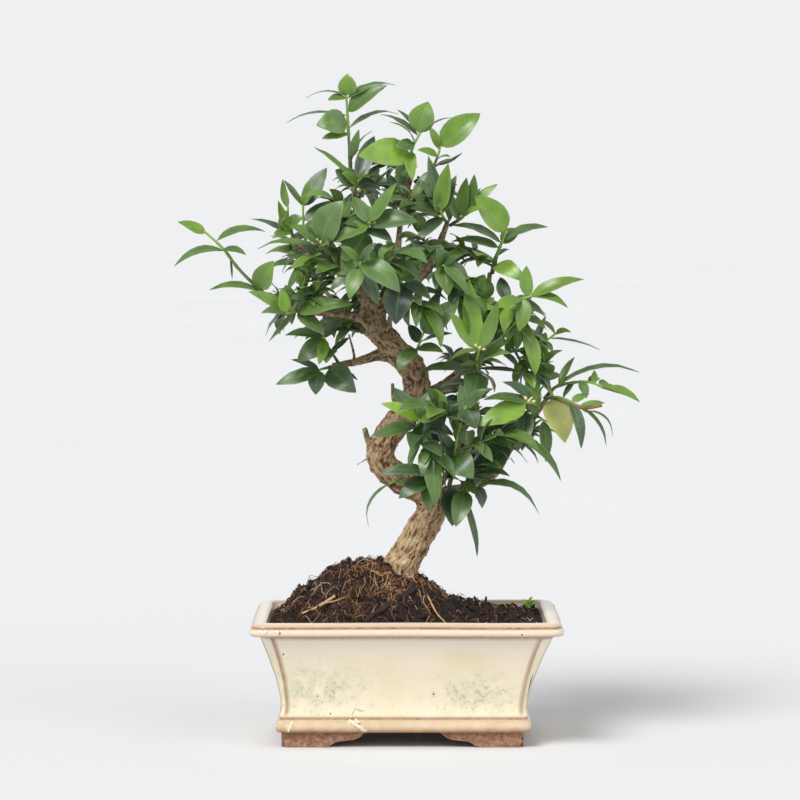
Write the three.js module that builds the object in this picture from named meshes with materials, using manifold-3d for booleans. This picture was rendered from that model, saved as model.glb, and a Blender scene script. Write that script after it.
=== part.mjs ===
// A myrtle-leaf orange grown as a bonsai, standing in its soil in a glazed rectangular pot.
// Millimetres, +Z up. The origin is the middle of the footprint, on the surface that the pot
// stands on: +X is to the right and -Y is the front.
import * as THREE from "three";
import { mergeVertices } from "three/addons/utils/BufferGeometryUtils.js";
import Module from "manifold-3d";

const wasm = await Module();
wasm.setup();

// Pot
const POT_LENGTH = 200; // outside the rim
const POT_WIDTH = 145;
const RIM_TOP = 81.7;
const RIM_EDGE = 79.4; // outer edge of the sloping rim
const RIM_SKIRT = 73.6; // lower edge of the rim's upright face
const RIM_CORNER = 9; // plan radius of the rim's corners
const LEAST_CORNER = 3;
const WALL = 6;
const FOOT_HEIGHT = 9.9;
const FLOOR_TOP = 17;
const BASE_SHIFT = -2.5; // the hand-made base sits a little to the left of the rim
const FOOT_INSET = 22.5; // from the rim's outline to the outer face of a foot
const FOOT_THICKNESS = 8;
const FOOT_ARM_LONG = 54;
const FOOT_ARM_SHORT = 36;
const DRAIN_RADIUS = 8;
const DRAIN_OFFSET = 38; // from the middle, along the pot
const MESH_SIDE = 26;
const MESH_THICKNESS = 1.2;
const MESH_CELLS = 4;
const MESH_BAR = 1.6;

// Soil
const SOIL_EDGE = 77.5; // along the wall, a few millimetres under the rim
const MOUND_HEIGHT = 37.5;
const MOUND_X = -30;
const MOUND_LEFT = 44; // how far the mound spreads to the left
const MOUND_RIGHT = 60;
const MOUND_DEPTH = 62; // from the crest line to the front and back
const MOUND_MARGIN = 14; // the mound dies away over this distance from the wall

const GAP = 0.35; // between pieces that touch
const GRID = 0.001; // every point lies on a grid this fine
const SHORTEST_EDGE = 0.02; // shorter ones are drawn together
const SUNK = 0.15; // how much of a root's thickness lies in the soil, as a share of its radius

// Leaves
const LEAF_HALF_THICKNESS = 0.45;
const FOLD = Math.tan(THREE.MathUtils.degToRad(22)); // how steeply a leaf's halves rise
const MIDDLE = 0.42; // where along a leaf it is widest
const MOST_OVERLAP = 0.004; // mm3 that two leaves may share
const TIP_SHIFTS = [0, 4, -4, 8, -8, 12, -12, 16, -16]; // mm forward or back
const LEAF_ROOT = 0.6; // how far a leaf's foot reaches into its stem
const LAST_LEAF = 0.97; // the furthest place along a stem that a leaf grows from

// The front view that the tree's places are given in: a point is written as it is seen against
// the pot's middle plane, with its depth in the middle, and drawn in along the line of sight.
const EYE = new THREE.Vector3(-4.2, -2215, 341.6);

// Trunk: x, depth, z, radius
const TRUNK = [
  [-5, 0, 99, 12.5],
  [-4, 0, 109, 11],
  [3, 1, 123, 10],
  [11, 3, 137, 9.6],
  [16, 5, 149, 9.6],
  [13, 5, 159, 9.4],
  [3, 3, 165, 9],
  [-9, 0, 172, 8.8],
  [-17, -3, 183, 8.6],
  [-13, -4, 195, 8.6],
  [-4, -1, 207, 8.4],
  [5, 2, 219, 8.4],
  [7, 3, 230, 8.2],
  [2, 2, 243, 8],
  [-8, 0, 253, 7.8],
  [-17, -1, 263, 7.6],
  [-22, -1, 273, 7.2],
  [-24, 0, 281, 6],
];

// Limbs: name, radius at the foot, radius at the end, points
const LIMBS = [
  ["leader", 3.2, 1.7, [
    [-23, 0, 277], [-25, 3, 296], [-26, 4, 317], [-31, 3, 341], [-36, 0, 365]]],
  ["upper_right", 4.2, 1.8, [
    [-22, 0, 275], [-5, -3, 288], [12, -4, 303], [20, -5, 318], [26, -8, 333]]],
  ["crown", 2.4, 1.3, [[-7, -3, 287], [-6, 8, 309], [-4, 11, 333], [1, 5, 356], [5, 0, 370]]],
  ["upper_left", 3, 1.5, [
    [-23, 0, 274], [-35, -11, 299], [-50, -16, 308], [-62, -17, 312], [-70, -17, 320]]],
  ["far_left", 2.6, 1.4, [[-21, -3, 270], [-43, -21, 275], [-66, -26, 277], [-87, -26, 283]]],
  ["lower_left", 3.4, 1.8, [[-11, 0, 251], [-35, -3, 244], [-47, -3, 242]]],
  ["middle_right", 3.2, 1.6, [
    [6, 3, 225], [25, 11, 226], [41, 13, 232], [48, 11, 249], [51, 8, 275], [54, 3, 301]]],
  ["lower_right", 4, 1.6, [
    [11, 5, 154], [31, 5, 160], [54, 0, 169], [68, -5, 189], [81, -9, 206], [91, -12, 220]]],
  ["back_upper", 3, 1.5, [[-17, 0, 265], [-15, 22, 281], [-9, 44, 304], [-5, 56, 327]]],
  ["back_left", 2.8, 1.4, [[-9, 2, 252], [-24, 24, 262], [-42, 44, 277], [-53, 54, 291]]],
  ["back_right", 3, 1.4, [[6, 2, 222], [22, 28, 229], [41, 46, 244], [56, 56, 255]]],
  ["back_low", 2.8, 1.4, [[11, 6, 156], [22, 26, 165], [31, 42, 180], [36, 50, 195]]],
];

// Dead stubs and bare twigs on the trunk and limbs, in the same form
const STUBS = [
  ["left_stub", 2.4, 1.7, [[-15, -3, 184], [-23, -5, 189], [-27, -6, 200]]],
  ["short_stub", 1.8, 1.2, [[-3, -2, 213], [-8, -6, 219], [-9, -7, 229]]],
  ["fork_stub", 2.0, 1.4, [[-14, -2, 262], [-11, -8, 267], [-11, -9, 273]]],
  ["thin_twig", 0.9, 0.5, [[-16, -4, 182], [-24, -9, 182], [-31, -11, 178]]],
  ["bare_twig", 1.2, 0.7, [[-35, -3, 243], [-34, -8, 248], [-37, -10, 261]]],
];

// Young shoots: name, radius at the foot, stem, then the leaves. A leaf is its place along the
// stem from 0 to 1, the x, depth and z of its tip, its width, its arch and its roll in degrees,
// which is 0 where the upper face looks up and 90 where it looks to the front.
const SHOOTS = [
  ["top_tip", 1.2, [[-36, 0, 367], [-37, -1, 383], [-38, 0, 401], [-39, 0, 418]], [
    [1, -38, -2, 431, 11, 1, 80], [0.98, -65, 6, 415, 7, 4, 10], [0.95, -51, -6, 414, 6, 1, 40],
    [0.93, -7, 8, 425, 9, 4, 22], [0.76, -13, -6, 424, 11, 1, 60], [0.72, -78, 10, 400, 8, 4, 10],
    [0.64, -58, -8, 398, 15, 2, 75], [0.5, -55, -4, 389, 7, 1, 40], [0.56, -5, 6, 407, 8, 4, 18],
    [0.2, -31, -8, 395, 6, 1, 70], [0.12, -23, 2, 395, 4, 2, 20]]],
  ["top_foot", 1.2, [[-34, 0, 352], [-33, -14, 357], [-31, -21, 362]], [
    [0.9, -59, -22, 385, 5, 1, 35], [1, -21, -5, 392, 10, 1, 60], [0.7, -46, -19, 369, 11, 1, 72],
    [0.6, -17, -10, 358, 9, 2, 55], [0.8, -42, -27, 367, 7, 1, 60], [0.9, -26, -26, 370, 3, 0, 60]]],
  ["crown_front", 1.3, [[4, -3, 367], [2, -34, 374], [4, -47, 383], [9, -51, 393]], [
    [0.55, -31, -63, 378, 17, 3, 72], [1, 14, -49, 413, 15, 2, 80], [0.98, -6, -41, 408, 4, 2, 15],
    [0.92, -17, -36, 405, 6, 3, 15], [0.95, 30, -56, 404, 5, 2, 25], [0.8, -11, -58, 400, 3, 3, 30],
    [0.75, -7, -54, 384, 8, 1, 60], [0.6, 4, -58, 362, 7, 1, 60], [0.7, -2, -53, 397, 5, 2, 30],
    [0.5, -7, -46, 364, 8, 1, 55]]],
  ["crown_right", 1.2, [[7, 4, 362], [15, -5, 367], [20, -11, 377], [22, -11, 384]], [
    [1, 47, -15, 406, 16, 2, 65], [0.9, 15, -13, 397, 6, 1, 60], [0.6, 28, -22, 378, 5, 1, 25],
    [0.5, 36, -2, 381, 4, -2, 20], [0.4, 2, -12, 349, 7, 1, 50], [0.3, 30, -11, 377, 4, 1, 30],
    [0.7, 7, -17, 382, 6, 1, 50], [0.2, 20, -12, 353, 8, 1, 60]]],
  ["upright_left", 1.2, [[26, -11, 335], [24, -24, 338], [22, -33, 342]], [
    [1, 27, -35, 373, 10, -2, 68], [0.9, 10, -28, 363, 6, -1, 60], [0.8, 14, -17, 378, 8, -1, 60],
    [0.9, 32, -26, 366, 8, -1, 62], [0.6, 19, -39, 357, 6, -1, 60], [0.7, -2, -32, 346, 9, 2, 45],
    [0.5, 6, -36, 322, 8, 2, 50]]],
  ["upright_right", 1.2, [[30, -8, 334], [36, -13, 338], [41, -13, 343]], [
    [0.5, 39, -15, 364, 8, -1, 65], [1, 44, -13, 366, 7, -1, 65], [1, 59, -11, 360, 7, 1, 50],
    [0.8, 48, -3, 358, 4, 1, 40], [0.6, 50, -21, 344, 7, 2, 40], [0.3, 25, -5, 356, 7, 0, 60]]],
  ["right_shoulder", 1.5, [[56, 0, 304], [58, -5, 312], [61, -8, 320], [65, -11, 329]], [
    [1, 45, -15, 353, 15, 2, 75], [0.75, 92, -4, 332, 9, 5, 27], [0.7, 74, 4, 331, 9, 1, 60],
    [0.72, 29, -16, 334, 9, 4, 35], [0.6, 29, -8, 324, 8, 3, 40], [0.35, 67, 9, 318, 3, 1, 30],
    [0.25, 44, -7, 318, 3, 0, 60], [0.2, 32, 5, 320, 7, 1, 55], [0.12, 76, -22, 297, 11, 5, 52],
    [0.1, 80, 10, 295, 10, 3, 45]]],
  ["rosette", 1.3, [[46, 5, 233], [46, -24, 242], [47, -37, 253]], [
    [0.97, 28, -45, 277, 9, -1, 65], [1, 41, -39, 298, 11, -1, 80], [1, 59, -43, 284, 9, -1, 70],
    [0.92, 74, -42, 275, 5, -3, 15], [0.95, 29, -56, 247, 6, 2, 20], [0.6, 35, -46, 242, 5, 1, 30],
    [0.6, 67, -38, 251, 8, 2, 38], [0.4, 76, -21, 238, 6, 1, 20], [0.3, 42, -32, 214, 14, 3, 72],
    [0.35, 8, -26, 240, 9, 3, 30], [0.8, 68, -22, 259, 7, 1, 45]]],
  ["centre_front", 1.2, [[4, -8, 248], [7, -29, 253], [11, -37, 263]], [
    [1, 20, -35, 290, 10, 1, 70], [1, 33, -41, 285, 13, 2, 65], [0.7, 1, -31, 269, 8, 1, 62],
    [0.5, -6, -39, 238, 9, 3, 50], [0.7, 30, -43, 263, 6, 2, 25], [0.5, 24, -37, 251, 8, 2, 40]]],
  ["centre_low", 1.2, [[2, -13, 211], [6, -33, 203], [9, -48, 206]], [
    [1, -16, -54, 218, 8, 2, 58], [1, 27, -54, 212, 7, 1, 58], [0.95, 18, -41, 227, 9, 0, 70],
    [0.85, -8, -38, 228, 11, 1, 60], [0.6, -23, -47, 195, 9, 2, 50], [0.7, 34, -33, 218, 10, 2, 45],
    [0.6, 31, -37, 197, 9, 2, 50], [0.5, 15, -41, 188, 10, 2, 70]]],
  ["bend_front", 1.3, [[12, -11, 160], [15, -33, 166], [17, -41, 174]], [
    [0.9, -17, -48, 173, 9, 3, 42], [0.6, -5, -45, 156, 11, 3, 55], [1, 12, -43, 197, 8, 1, 62],
    [1, 26, -39, 194, 8, 1, 60], [0.4, 14, -39, 147, 9, 3, 60], [0.3, -7, -31, 165, 7, 2, 30]]],
  ["bend_left", 0.9, [[-3, -8, 169], [-7, -20, 167], [-11, -24, 165]], [
    [1, -26, -26, 137, 5, 6, 15]]],
  ["under_right", 1.3, [[30, -3, 161], [37, -25, 161], [46, -36, 164]], [
    [0.2, 30, -30, 138, 15, 3, 70], [0.55, 32, -42, 137, 12, 2, 65], [0.9, 50, -30, 149, 9, 2, 55],
    [0.5, 22, -43, 162, 6, 1, 12], [0.4, 47, -17, 117, 5, 5, 55], [1, 87, -41, 145, 8, 11, 28]]],
  ["riser", 1.6, [[28, -5, 164], [30, -32, 174], [33, -41, 194], [39, -41, 216]], [
    [0.5, 43, -53, 169, 17, 4, 80], [0.98, 45, -49, 201, 11, 2, 60], [0.9, 35, -37, 230, 7, 0, 68],
    [0.75, 30, -29, 207, 6, 1, 45], [0.45, 20, -40, 201, 9, 1, 60], [0.4, 56, -45, 198, 6, 1, 32],
    [1, 53, -47, 227, 8, 1, 55], [0.2, 22, -36, 179, 8, 2, 60]]],
  ["right_under", 1.1, [[67, -9, 190], [66, -18, 193], [68, -24, 196]], [
    [0.6, 44, -35, 165, 16, 4, 70], [0.8, 87, -25, 179, 4, 3, 15], [1, 101, -32, 167, 8, 8, 28],
    [0.5, 58, -28, 200, 7, 1, 40]]],
  ["right_droop", 1.1, [[83, -13, 210], [87, -22, 208], [90, -26, 206]], [
    [0.8, 91, -26, 179, 8, 2, 60], [0.4, 65, -31, 192, 6, 3, 27], [1, 104, -28, 192, 6, 3, 35],
    [0.2, 74, -20, 194, 6, 2, 30]]],
  ["right_hub", 1.2, [[92, -15, 221], [100, -26, 221], [109, -31, 217], [117, -35, 212]], [
    [1, 135, -37, 197, 4, 5, 15], [0.75, 131, -42, 190, 4, 5, 15], [0.55, 114, -40, 188, 7, 5, 42],
    [0.1, 103, -41, 192, 17, 2, 82], [0.6, 119, -25, 224, 6, 1, 40], [0.8, 129, -32, 218, 5, 1, 35]]],
  ["right_tip", 1.2, [[91, -8, 222], [97, -8, 228], [109, -7, 231], [120, -7, 231], [129, -8, 227]], [
    [0.08, 152, -6, 240, 6, 8, 22], [0.1, 73, -14, 246, 8, 5, 45], [0.3, 109, 0, 248, 5, 1, 32],
    [0.8, 122, -8, 239, 4, 0, 60], [0.9, 131, -2, 231, 6, 1, 40], [1, 152, -12, 218, 7, 3, 42],
    [0.95, 137, -18, 225, 5, 2, 35], [0.6, 117, -14, 221, 6, 1, 45], [0.7, 126, 4, 234, 5, 1, 40],
    [0.5, 101, -4, 220, 6, 1, 40]]],
  ["right_hub_left", 1.2, [[87, -11, 214], [83, -27, 217], [78, -36, 218]], [
    [0.6, 63, -32, 232, 9, 3, 45], [0.9, 50, -47, 220, 8, 2, 40], [1, 46, -46, 203, 14, 2, 65],
    [0.5, 63, -35, 223, 7, 1, 45], [0.3, 90, -30, 230, 7, 1, 40]]],
  ["right_high", 1.3, [[53, 5, 281], [64, -13, 283], [74, -24, 285], [81, -28, 287]], [
    [1, 115, -28, 299, 9, 4, 50], [0.97, 97, -18, 288, 6, 1, 40], [0.95, 105, -36, 280, 7, 3, 36],
    [0.9, 78, -25, 307, 8, 0, 60], [0.7, 56, -38, 279, 8, 2, 40], [0.5, 63, -32, 264, 9, 1, 65],
    [0.8, 73, -33, 264, 9, 1, 65], [0.4, 61, -4, 300, 8, 1, 60], [0.6, 91, -19, 273, 8, 2, 40]]],
  ["right_mid", 1.2, [[51, 12, 251], [64, 0, 251], [79, -8, 253], [92, -11, 259], [97, -11, 263]], [
    [1, 107, -13, 264, 5, 1, 42], [0.98, 85, -5, 271, 4, 3, 28], [0.8, 126, -7, 253, 5, 1, 12],
    [0.7, 95, -18, 251, 5, 1, 20], [0.55, 90, 2, 275, 5, 0, 32], [0.4, 87, -13, 242, 6, 2, 35],
    [0.25, 76, 2, 265, 7, 1, 50], [0.2, 74, 1, 238, 6, 2, 35], [0.5, 74, -18, 263, 7, 1, 50]]],
  ["far_left_tip", 1.3, [[-89, -26, 285], [-109, -30, 305], [-119, -32, 318], [-131, -34, 329]], [
    [1, -148, -36, 336, 8, 1, 50], [0.8, -91, -26, 329, 8, 4, 30], [0.62, -151, -38, 306, 8, 6, 32],
    [0.66, -104, -40, 314, 6, 1, 38], [0.5, -113, -30, 298, 3, 0, 45],
    [0.05, -128, -29, 292, 7, 4, 28], [0.12, -86, -39, 310, 13, 2, 75]]],
  ["left_up_a", 1, [[-72, -18, 322], [-76, -21, 333], [-77, -21, 345]], [
    [1, -80, -21, 363, 5, -1, 65], [0.9, -83, -25, 332, 4, 1, 40], [0.2, -83, -29, 349, 6, -2, 70],
    [0.2, -101, -15, 338, 6, 1, 32], [0.5, -67, -27, 338, 9, 1, 60], [0.3, -87, -27, 325, 7, 1, 45]]],
  ["left_up_b", 1, [[-63, -18, 314], [-66, -11, 326], [-67, -8, 338], [-67, -8, 346]], [
    [1, -63, -12, 362, 6, 0, 62], [0.97, -79, -4, 363, 5, -1, 30], [0.95, -52, -2, 371, 11, -1, 65],
    [0.6, -44, 2, 350, 9, 1, 55], [0.5, -55, -14, 331, 8, 1, 60], [0.3, -77, -1, 323, 7, 1, 40]]],
  ["left_front", 1.1, [[-57, -24, 312], [-57, -41, 317], [-55, -51, 322]], [
    [1, -41, -56, 349, 18, 3, 72], [0.9, -76, -53, 333, 9, 1, 55], [0.6, -97, -38, 320, 7, 3, 32],
    [0.5, -82, -41, 304, 5, 3, 22], [0.7, -50, -61, 321, 6, 1, 40], [0.3, -79, -41, 289, 7, 2, 45]]],
  ["fork_high", 1.2, [[-29, -5, 325], [-26, -37, 330], [-24, -55, 335]], [
    [0.9, -46, -59, 322, 10, 2, 55], [1, -7, -55, 361, 9, 0, 55], [0.8, 7, -55, 336, 13, 3, 55],
    [0.5, -42, -53, 301, 16, 3, 72], [0.95, -35, -48, 352, 9, 1, 62], [0.6, -9, -55, 322, 9, 3, 50],
    [0.7, -40, -57, 335, 9, 2, 50]]],
  ["fork_front", 1.2, [[-27, -5, 295], [-30, -50, 303], [-30, -76, 309]], [
    [0.95, -4, -82, 290, 14, 3, 62], [0.7, -37, -70, 285, 10, 2, 65],
    [0.5, -18, -58, 281, 9, 2, 60], [1, -20, -82, 322, 7, 1, 50], [0.6, -50, -63, 291, 8, 2, 50],
    [1, -43, -82, 320, 7, 1, 45]]],
  ["fork_right", 1.1, [[-2, -9, 293], [-3, -35, 295], [-3, -47, 297]], [
    [1, 9, -49, 310, 12, 1, 65], [0.7, -7, -50, 269, 17, 2, 75], [1, -9, -53, 314, 8, 1, 60],
    [0.6, 16, -51, 285, 8, 2, 45]]],
  ["inner_right", 1.1, [[19, -11, 309], [22, -36, 307], [24, -46, 307]], [
    [0.5, 27, -48, 288, 11, 2, 76], [1, 40, -50, 288, 8, 2, 50], [1, 40, -42, 301, 8, 1, 55],
    [0.6, 20, -49, 318, 11, 2, 55], [0.4, 18, -23, 323, 9, 3, 45], [0.8, 36, -47, 314, 6, 1, 45]]],
  ["left_mid", 1.2, [[-67, -29, 279], [-72, -41, 277], [-78, -49, 276]], [
    [0.5, -35, -57, 283, 11, 3, 55], [1, -81, -53, 292, 8, 0, 62], [0.9, -65, -48, 309, 5, -5, 32],
    [0.6, -90, -44, 258, 6, -2, 32], [0.8, -102, -51, 291, 8, 1, 52],
    [0.4, -53, -48, 262, 9, 2, 55], [0.3, -57, -41, 296, 9, 1, 58], [1, -94, -55, 277, 7, 2, 40]]],
  ["low_left_a", 1.2, [[-49, -3, 241], [-54, -9, 240], [-57, -13, 239]], [
    [1, -85, -17, 230, 10, 2, 52], [1, -59, -19, 223, 10, 1, 65], [0.95, -75, -7, 246, 6, 1, 32],
    [0.1, -33, -23, 225, 16, 3, 78], [0.05, -31, 1, 233, 5, 1, 40], [0.8, -73, -25, 237, 5, 1, 30]]],
  ["low_left_b", 1.1, [[-45, -5, 245], [-50, -20, 253], [-54, -24, 261]], [
    [0.9, -71, -32, 245, 12, 2, 70], [0.9, -57, -34, 243, 7, 1, 75],
    [0.5, -52, -32, 244, 10, 2, 75], [1, -79, -28, 262, 8, 2, 45], [1, -40, -32, 272, 8, 1, 55],
    [0.4, -37, -12, 261, 4, 0, 50]]],
];

// Shoots of the far side, which grow by rule: name, limb, place along the limb, direction,
// length, number of leaves, length of the longest leaf, turn of the first leaf in degrees
const REAR_SHOOTS = [
  ["rear_crown", "back_upper", 1, [0.1, 0.35, 0.95], 34, 10, 27, 0],
  ["rear_crown_low", "back_upper", 0.62, [0.75, 0.55, 0.35], 30, 9, 27, 40],
  ["rear_shoulder", "back_upper", 0.4, [-0.8, 0.5, 0.4], 28, 8, 26, 80],
  ["rear_left", "back_left", 1, [-0.6, 0.35, 0.65], 34, 10, 27, 20],
  ["rear_left_low", "back_left", 0.66, [-0.35, 0.85, -0.05], 26, 9, 26, 60],
  ["rear_left_inner", "back_left", 0.4, [-0.9, 0.3, 0.1], 26, 8, 26, 10],
  ["rear_right", "back_right", 1, [0.55, 0.4, 0.6], 32, 10, 27, 30],
  ["rear_right_low", "back_right", 0.64, [0.3, 0.8, -0.15], 26, 9, 26, 70],
  ["rear_low", "back_low", 1, [0.25, 0.45, 0.75], 28, 9, 26, 50],
  ["rear_low_front", "back_low", 0.7, [0.8, 0.35, 0.15], 24, 8, 25, 15],
  ["rear_leader", "leader", 0.3, [-0.3, 0.9, 0.3], 32, 9, 27, 25],
  ["rear_top", "leader", 0.82, [0.35, 0.85, 0.35], 28, 9, 26, 65],
  ["rear_upper_right", "upper_right", 0.6, [0.35, 0.9, 0.15], 32, 9, 27, 5],
  ["rear_upper_left", "upper_left", 0.62, [-0.2, 0.9, 0.15], 30, 9, 27, 45],
  ["rear_far_left", "far_left", 0.72, [-0.35, 0.9, 0.05], 30, 8, 26, 75],
  ["rear_middle_right", "middle_right", 0.62, [0.35, 0.9, 0.1], 30, 9, 27, 38],
  ["rear_lower_right", "lower_right", 0.66, [0.15, 0.9, 0.2], 30, 9, 27, 55],
];

// Side twigs, which fork from a shoot: its name, place along its stem, direction, length, number
// of leaves, length of the longest leaf, turn of the first leaf in degrees
const SIDE_TWIGS = [
  ["crown_front", 0.15, [-0.7, 0.2, 0.1], 22, 7, 24, 10],
  ["crown_right", 0.1, [0.5, 0.3, -0.35], 24, 7, 22, 40],
  ["upright_left", 0.2, [-0.85, -0.15, 0.35], 26, 8, 24, 0],
  ["inner_right", 0.3, [-0.5, -0.3, 0.75], 26, 8, 24, 60],
  ["right_shoulder", 0.1, [-0.7, -0.2, 0.3], 26, 8, 24, 30],
  ["right_high", 0.15, [-0.6, -0.5, 0.4], 24, 8, 26, 75],
  ["inner_right", 0.4, [0.4, -0.3, -0.7], 28, 8, 26, 10],
  ["right_mid", 0.2, [-0.1, -0.55, 0.75], 28, 9, 28, 25],
  ["right_high", 0.4, [0.5, -0.2, -0.7], 26, 8, 26, 50],
  ["right_mid", 0.45, [0.4, -0.3, -0.75], 24, 8, 24, 60],
  ["right_tip", 0.1, [-0.2, 0.2, 0.85], 26, 8, 24, 0],
  ["rosette", 0.1, [-0.55, -0.3, -0.6], 30, 9, 28, 35],
  ["riser", 0.85, [-0.6, -0.4, 0.3], 26, 8, 28, 15],
  ["riser", 0.6, [0.75, -0.2, 0.2], 32, 9, 30, 45],
  ["right_hub_left", 0.3, [-0.75, -0.2, -0.4], 28, 8, 28, 70],
  ["under_right", 0.4, [0.4, -0.6, 0.5], 24, 8, 28, 20],
  ["centre_low", 0.6, [0.3, -0.4, -0.75], 26, 8, 28, 30],
  ["left_mid", 0.2, [0.5, -0.5, 0.55], 26, 8, 25, 10],
  ["left_mid", 0.6, [0.3, -0.2, 0.85], 26, 8, 24, 60],
  ["left_front", 0.3, [0.6, -0.2, 0.65], 28, 8, 26, 25],
  ["fork_high", 0.3, [-0.6, -0.2, 0.6], 26, 8, 25, 55],
  ["fork_front", 0.4, [-0.75, -0.3, 0.25], 26, 8, 26, 15],
  ["fork_front", 0.6, [0.75, -0.3, 0.25], 26, 8, 26, 65],
  ["fork_right", 0.5, [0.45, -0.5, -0.6], 24, 8, 26, 0],
];
const ROOT_STUB_FOOT = [48, -3, 77];
const ROOT_STUB_TIPS = [[44, -6, 91], [52, -2, 91]];
const SEEDLING_STEM = [[79, 6, 72], [79.5, 6, 79], [80.5, 6, 85]];
const SEEDLING_TIPS = [[75.5, 4, 89], [82, 3, 91], [85, 7, 88], [78.5, 10, 88]];
const GOLDEN_TURN = THREE.MathUtils.degToRad(137.5);
const RULE_FIRST_LEAF = 0.25; // where along a stem the leaves begin
const RULE_SPREAD = [65, 25]; // degrees between a leaf and the stem, at the foot and at the tip
const RULE_DROOP = 0.25; // how far a tip sinks, as a share of the leaf's length
const RULE_WIDTH = 0.42;
const RULE_ARCH = 0.12;
const REAR_FOOT_RADIUS = 1.2;
const TWIG_FOOT_RADIUS = 0.9;
const STEM_RISE = 0.12; // how far a ruled stem curves up, as a share of its length

const SHOOT_TIP = 0.6; // radius of a young stem at its end
const STEM_SIDES = 5;
const LIMB_SIDES = 8;
const TRUNK_SIDES = 10;
const STEP = 12; // length of one step along a limb or stem

// Solids

// A closed three.js geometry as a solid that can be joined and cut.
function solid(geometry) {
  const bare = geometry.clone();
  bare.deleteAttribute("normal");
  bare.deleteAttribute("uv");
  const merged = mergeVertices(bare, 1e-4);
  return new wasm.Manifold(
    new wasm.Mesh({
      numProp: 3,
      vertProperties: merged.attributes.position.array,
      triVerts: new Uint32Array(merged.index.array),
    }),
  );
}

// The largest body of a solid, which leaves out the crumbs of a cut.
function largest(made) {
  const bodies = made.decompose();
  return bodies.reduce((a, b) => (b.volume() > a.volume() ? b : a));
}

// A named mesh from a solid, with flat faces. Its points are brought to a fine grid, and the
// faces that vanish in that, along the seams of joined leaves, are left out.
function piece(name, made, color, roughness) {
  const { numVert, numProp, vertProperties, triVerts } = made.simplify(SHORTEST_EDGE).getMesh();
  const points = [];
  const numbers = new Map(); // each place's number
  const renumbered = [];
  for (let i = 0; i < numVert; i++) {
    const at = [0, 1, 2].map((k) => Math.round(vertProperties[i * numProp + k] / GRID) * GRID);
    const key = at.map((v) => v.toFixed(3)).join();
    if (!numbers.has(key)) {
      numbers.set(key, numbers.size);
      points.push(...at);
    }
    renumbered.push(numbers.get(key));
  }
  const kept = new Map(); // faces by their corners: two that lie back to back cancel out
  for (let i = 0; i < triVerts.length; i += 3) {
    const face = [0, 1, 2].map((k) => renumbered[triVerts[i + k]]);
    const key = face.toSorted((a, b) => a - b).join();
    if (new Set(face).size < 3) continue;
    if (kept.has(key)) kept.delete(key);
    else kept.set(key, face);
  }
  const geometry = new THREE.BufferGeometry();
  geometry.setAttribute("position", new THREE.Float32BufferAttribute(points, 3));
  geometry.setIndex([...kept.values()].flat());
  const faceted = geometry.toNonIndexed();
  faceted.computeVertexNormals();
  const material = new THREE.MeshStandardMaterial({ color, roughness, metalness: 0 });
  const mesh = new THREE.Mesh(faceted, material);
  mesh.name = name;
  return mesh;
}

// A point that is written as seen from the front becomes its place in space.
function place([x, y, z]) {
  const reach = (y - EYE.y) / -EYE.y;
  return new THREE.Vector3(EYE.x + (x - EYE.x) * reach, y, EYE.z + (z - EYE.z) * reach);
}

// A round tapering rod: a cylinder whose rings are carried along a smooth curve.
function rod(points, radiusAt, sides, steps) {
  const curve = new THREE.CatmullRomCurve3(points, false, "centripetal");
  const frames = curve.computeFrenetFrames(steps, false);
  const geometry = new THREE.CylinderGeometry(1, 1, 1, sides, steps);
  const position = geometry.attributes.position;
  const at = new THREE.Vector3();
  for (let i = 0; i < position.count; i++) {
    const t = position.getY(i) + 0.5;
    const ring = Math.round(t * steps);
    const radius = radiusAt(t);
    curve.getPointAt(t, at);
    at.addScaledVector(frames.normals[ring], position.getX(i) * radius);
    at.addScaledVector(frames.binormals[ring], -position.getZ(i) * radius);
    position.setXYZ(i, at.x, at.y, at.z);
  }
  return solid(geometry);
}

function lengthOf(points) {
  return points.slice(1).reduce((sum, p, i) => sum + p.distanceTo(points[i]), 0);
}

// The same line of points with its two ends drawn out by a growth.
function drawnOut(points, growth) {
  const out = (end, next) => end.clone().add(end.clone().sub(next).setLength(growth));
  if (!growth) return points;
  return [out(points[0], points[1]), ...points.slice(1, -1), out(points.at(-1), points.at(-2))];
}

// A rod that narrows evenly from its foot to its end, made larger all round by a growth.
function taperedRod(points, foot, end, sides, growth = 0) {
  const steps = Math.max(3, Math.round(lengthOf(points) / STEP));
  const radiusAt = (t) => THREE.MathUtils.lerp(foot, end, t) + growth;
  return rod(drawnOut(points, growth), radiusAt, sides, steps);
}

// Pot and soil

// The rounded rectangle that lies a given inset inside the rim's outline, as 20 points that
// start at the front left and run round by the right.
function outline(inset) {
  const corner = Math.max(LEAST_CORNER, RIM_CORNER - 0.3 * inset);
  const dx = POT_LENGTH / 2 - inset - corner;
  const dy = POT_WIDTH / 2 - inset - corner;
  const centres = [[dx, -dy], [dx, dy], [-dx, dy], [-dx, -dy]];
  return centres.flatMap(([cx, cy], quarter) =>
    [0, 1, 2, 3, 4].map((k) => {
      const angle = ((quarter - 1) * 4 + k) * (Math.PI / 8);
      return [cx + corner * Math.cos(angle), cy + corner * Math.sin(angle)];
    }),
  );
}

// The outer wall's inset at a height: a gentle hollow curve down from the rim.
const WALL_CURVE = new THREE.SplineCurve(
  [[72.8, 6.5], [66.7, 9], [57, 12.9], [45, 17.2], [36, 19.4], [28, 20.8], [19, 21]].map(
    ([z, inset]) => new THREE.Vector2(inset, z),
  ),
);

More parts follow.
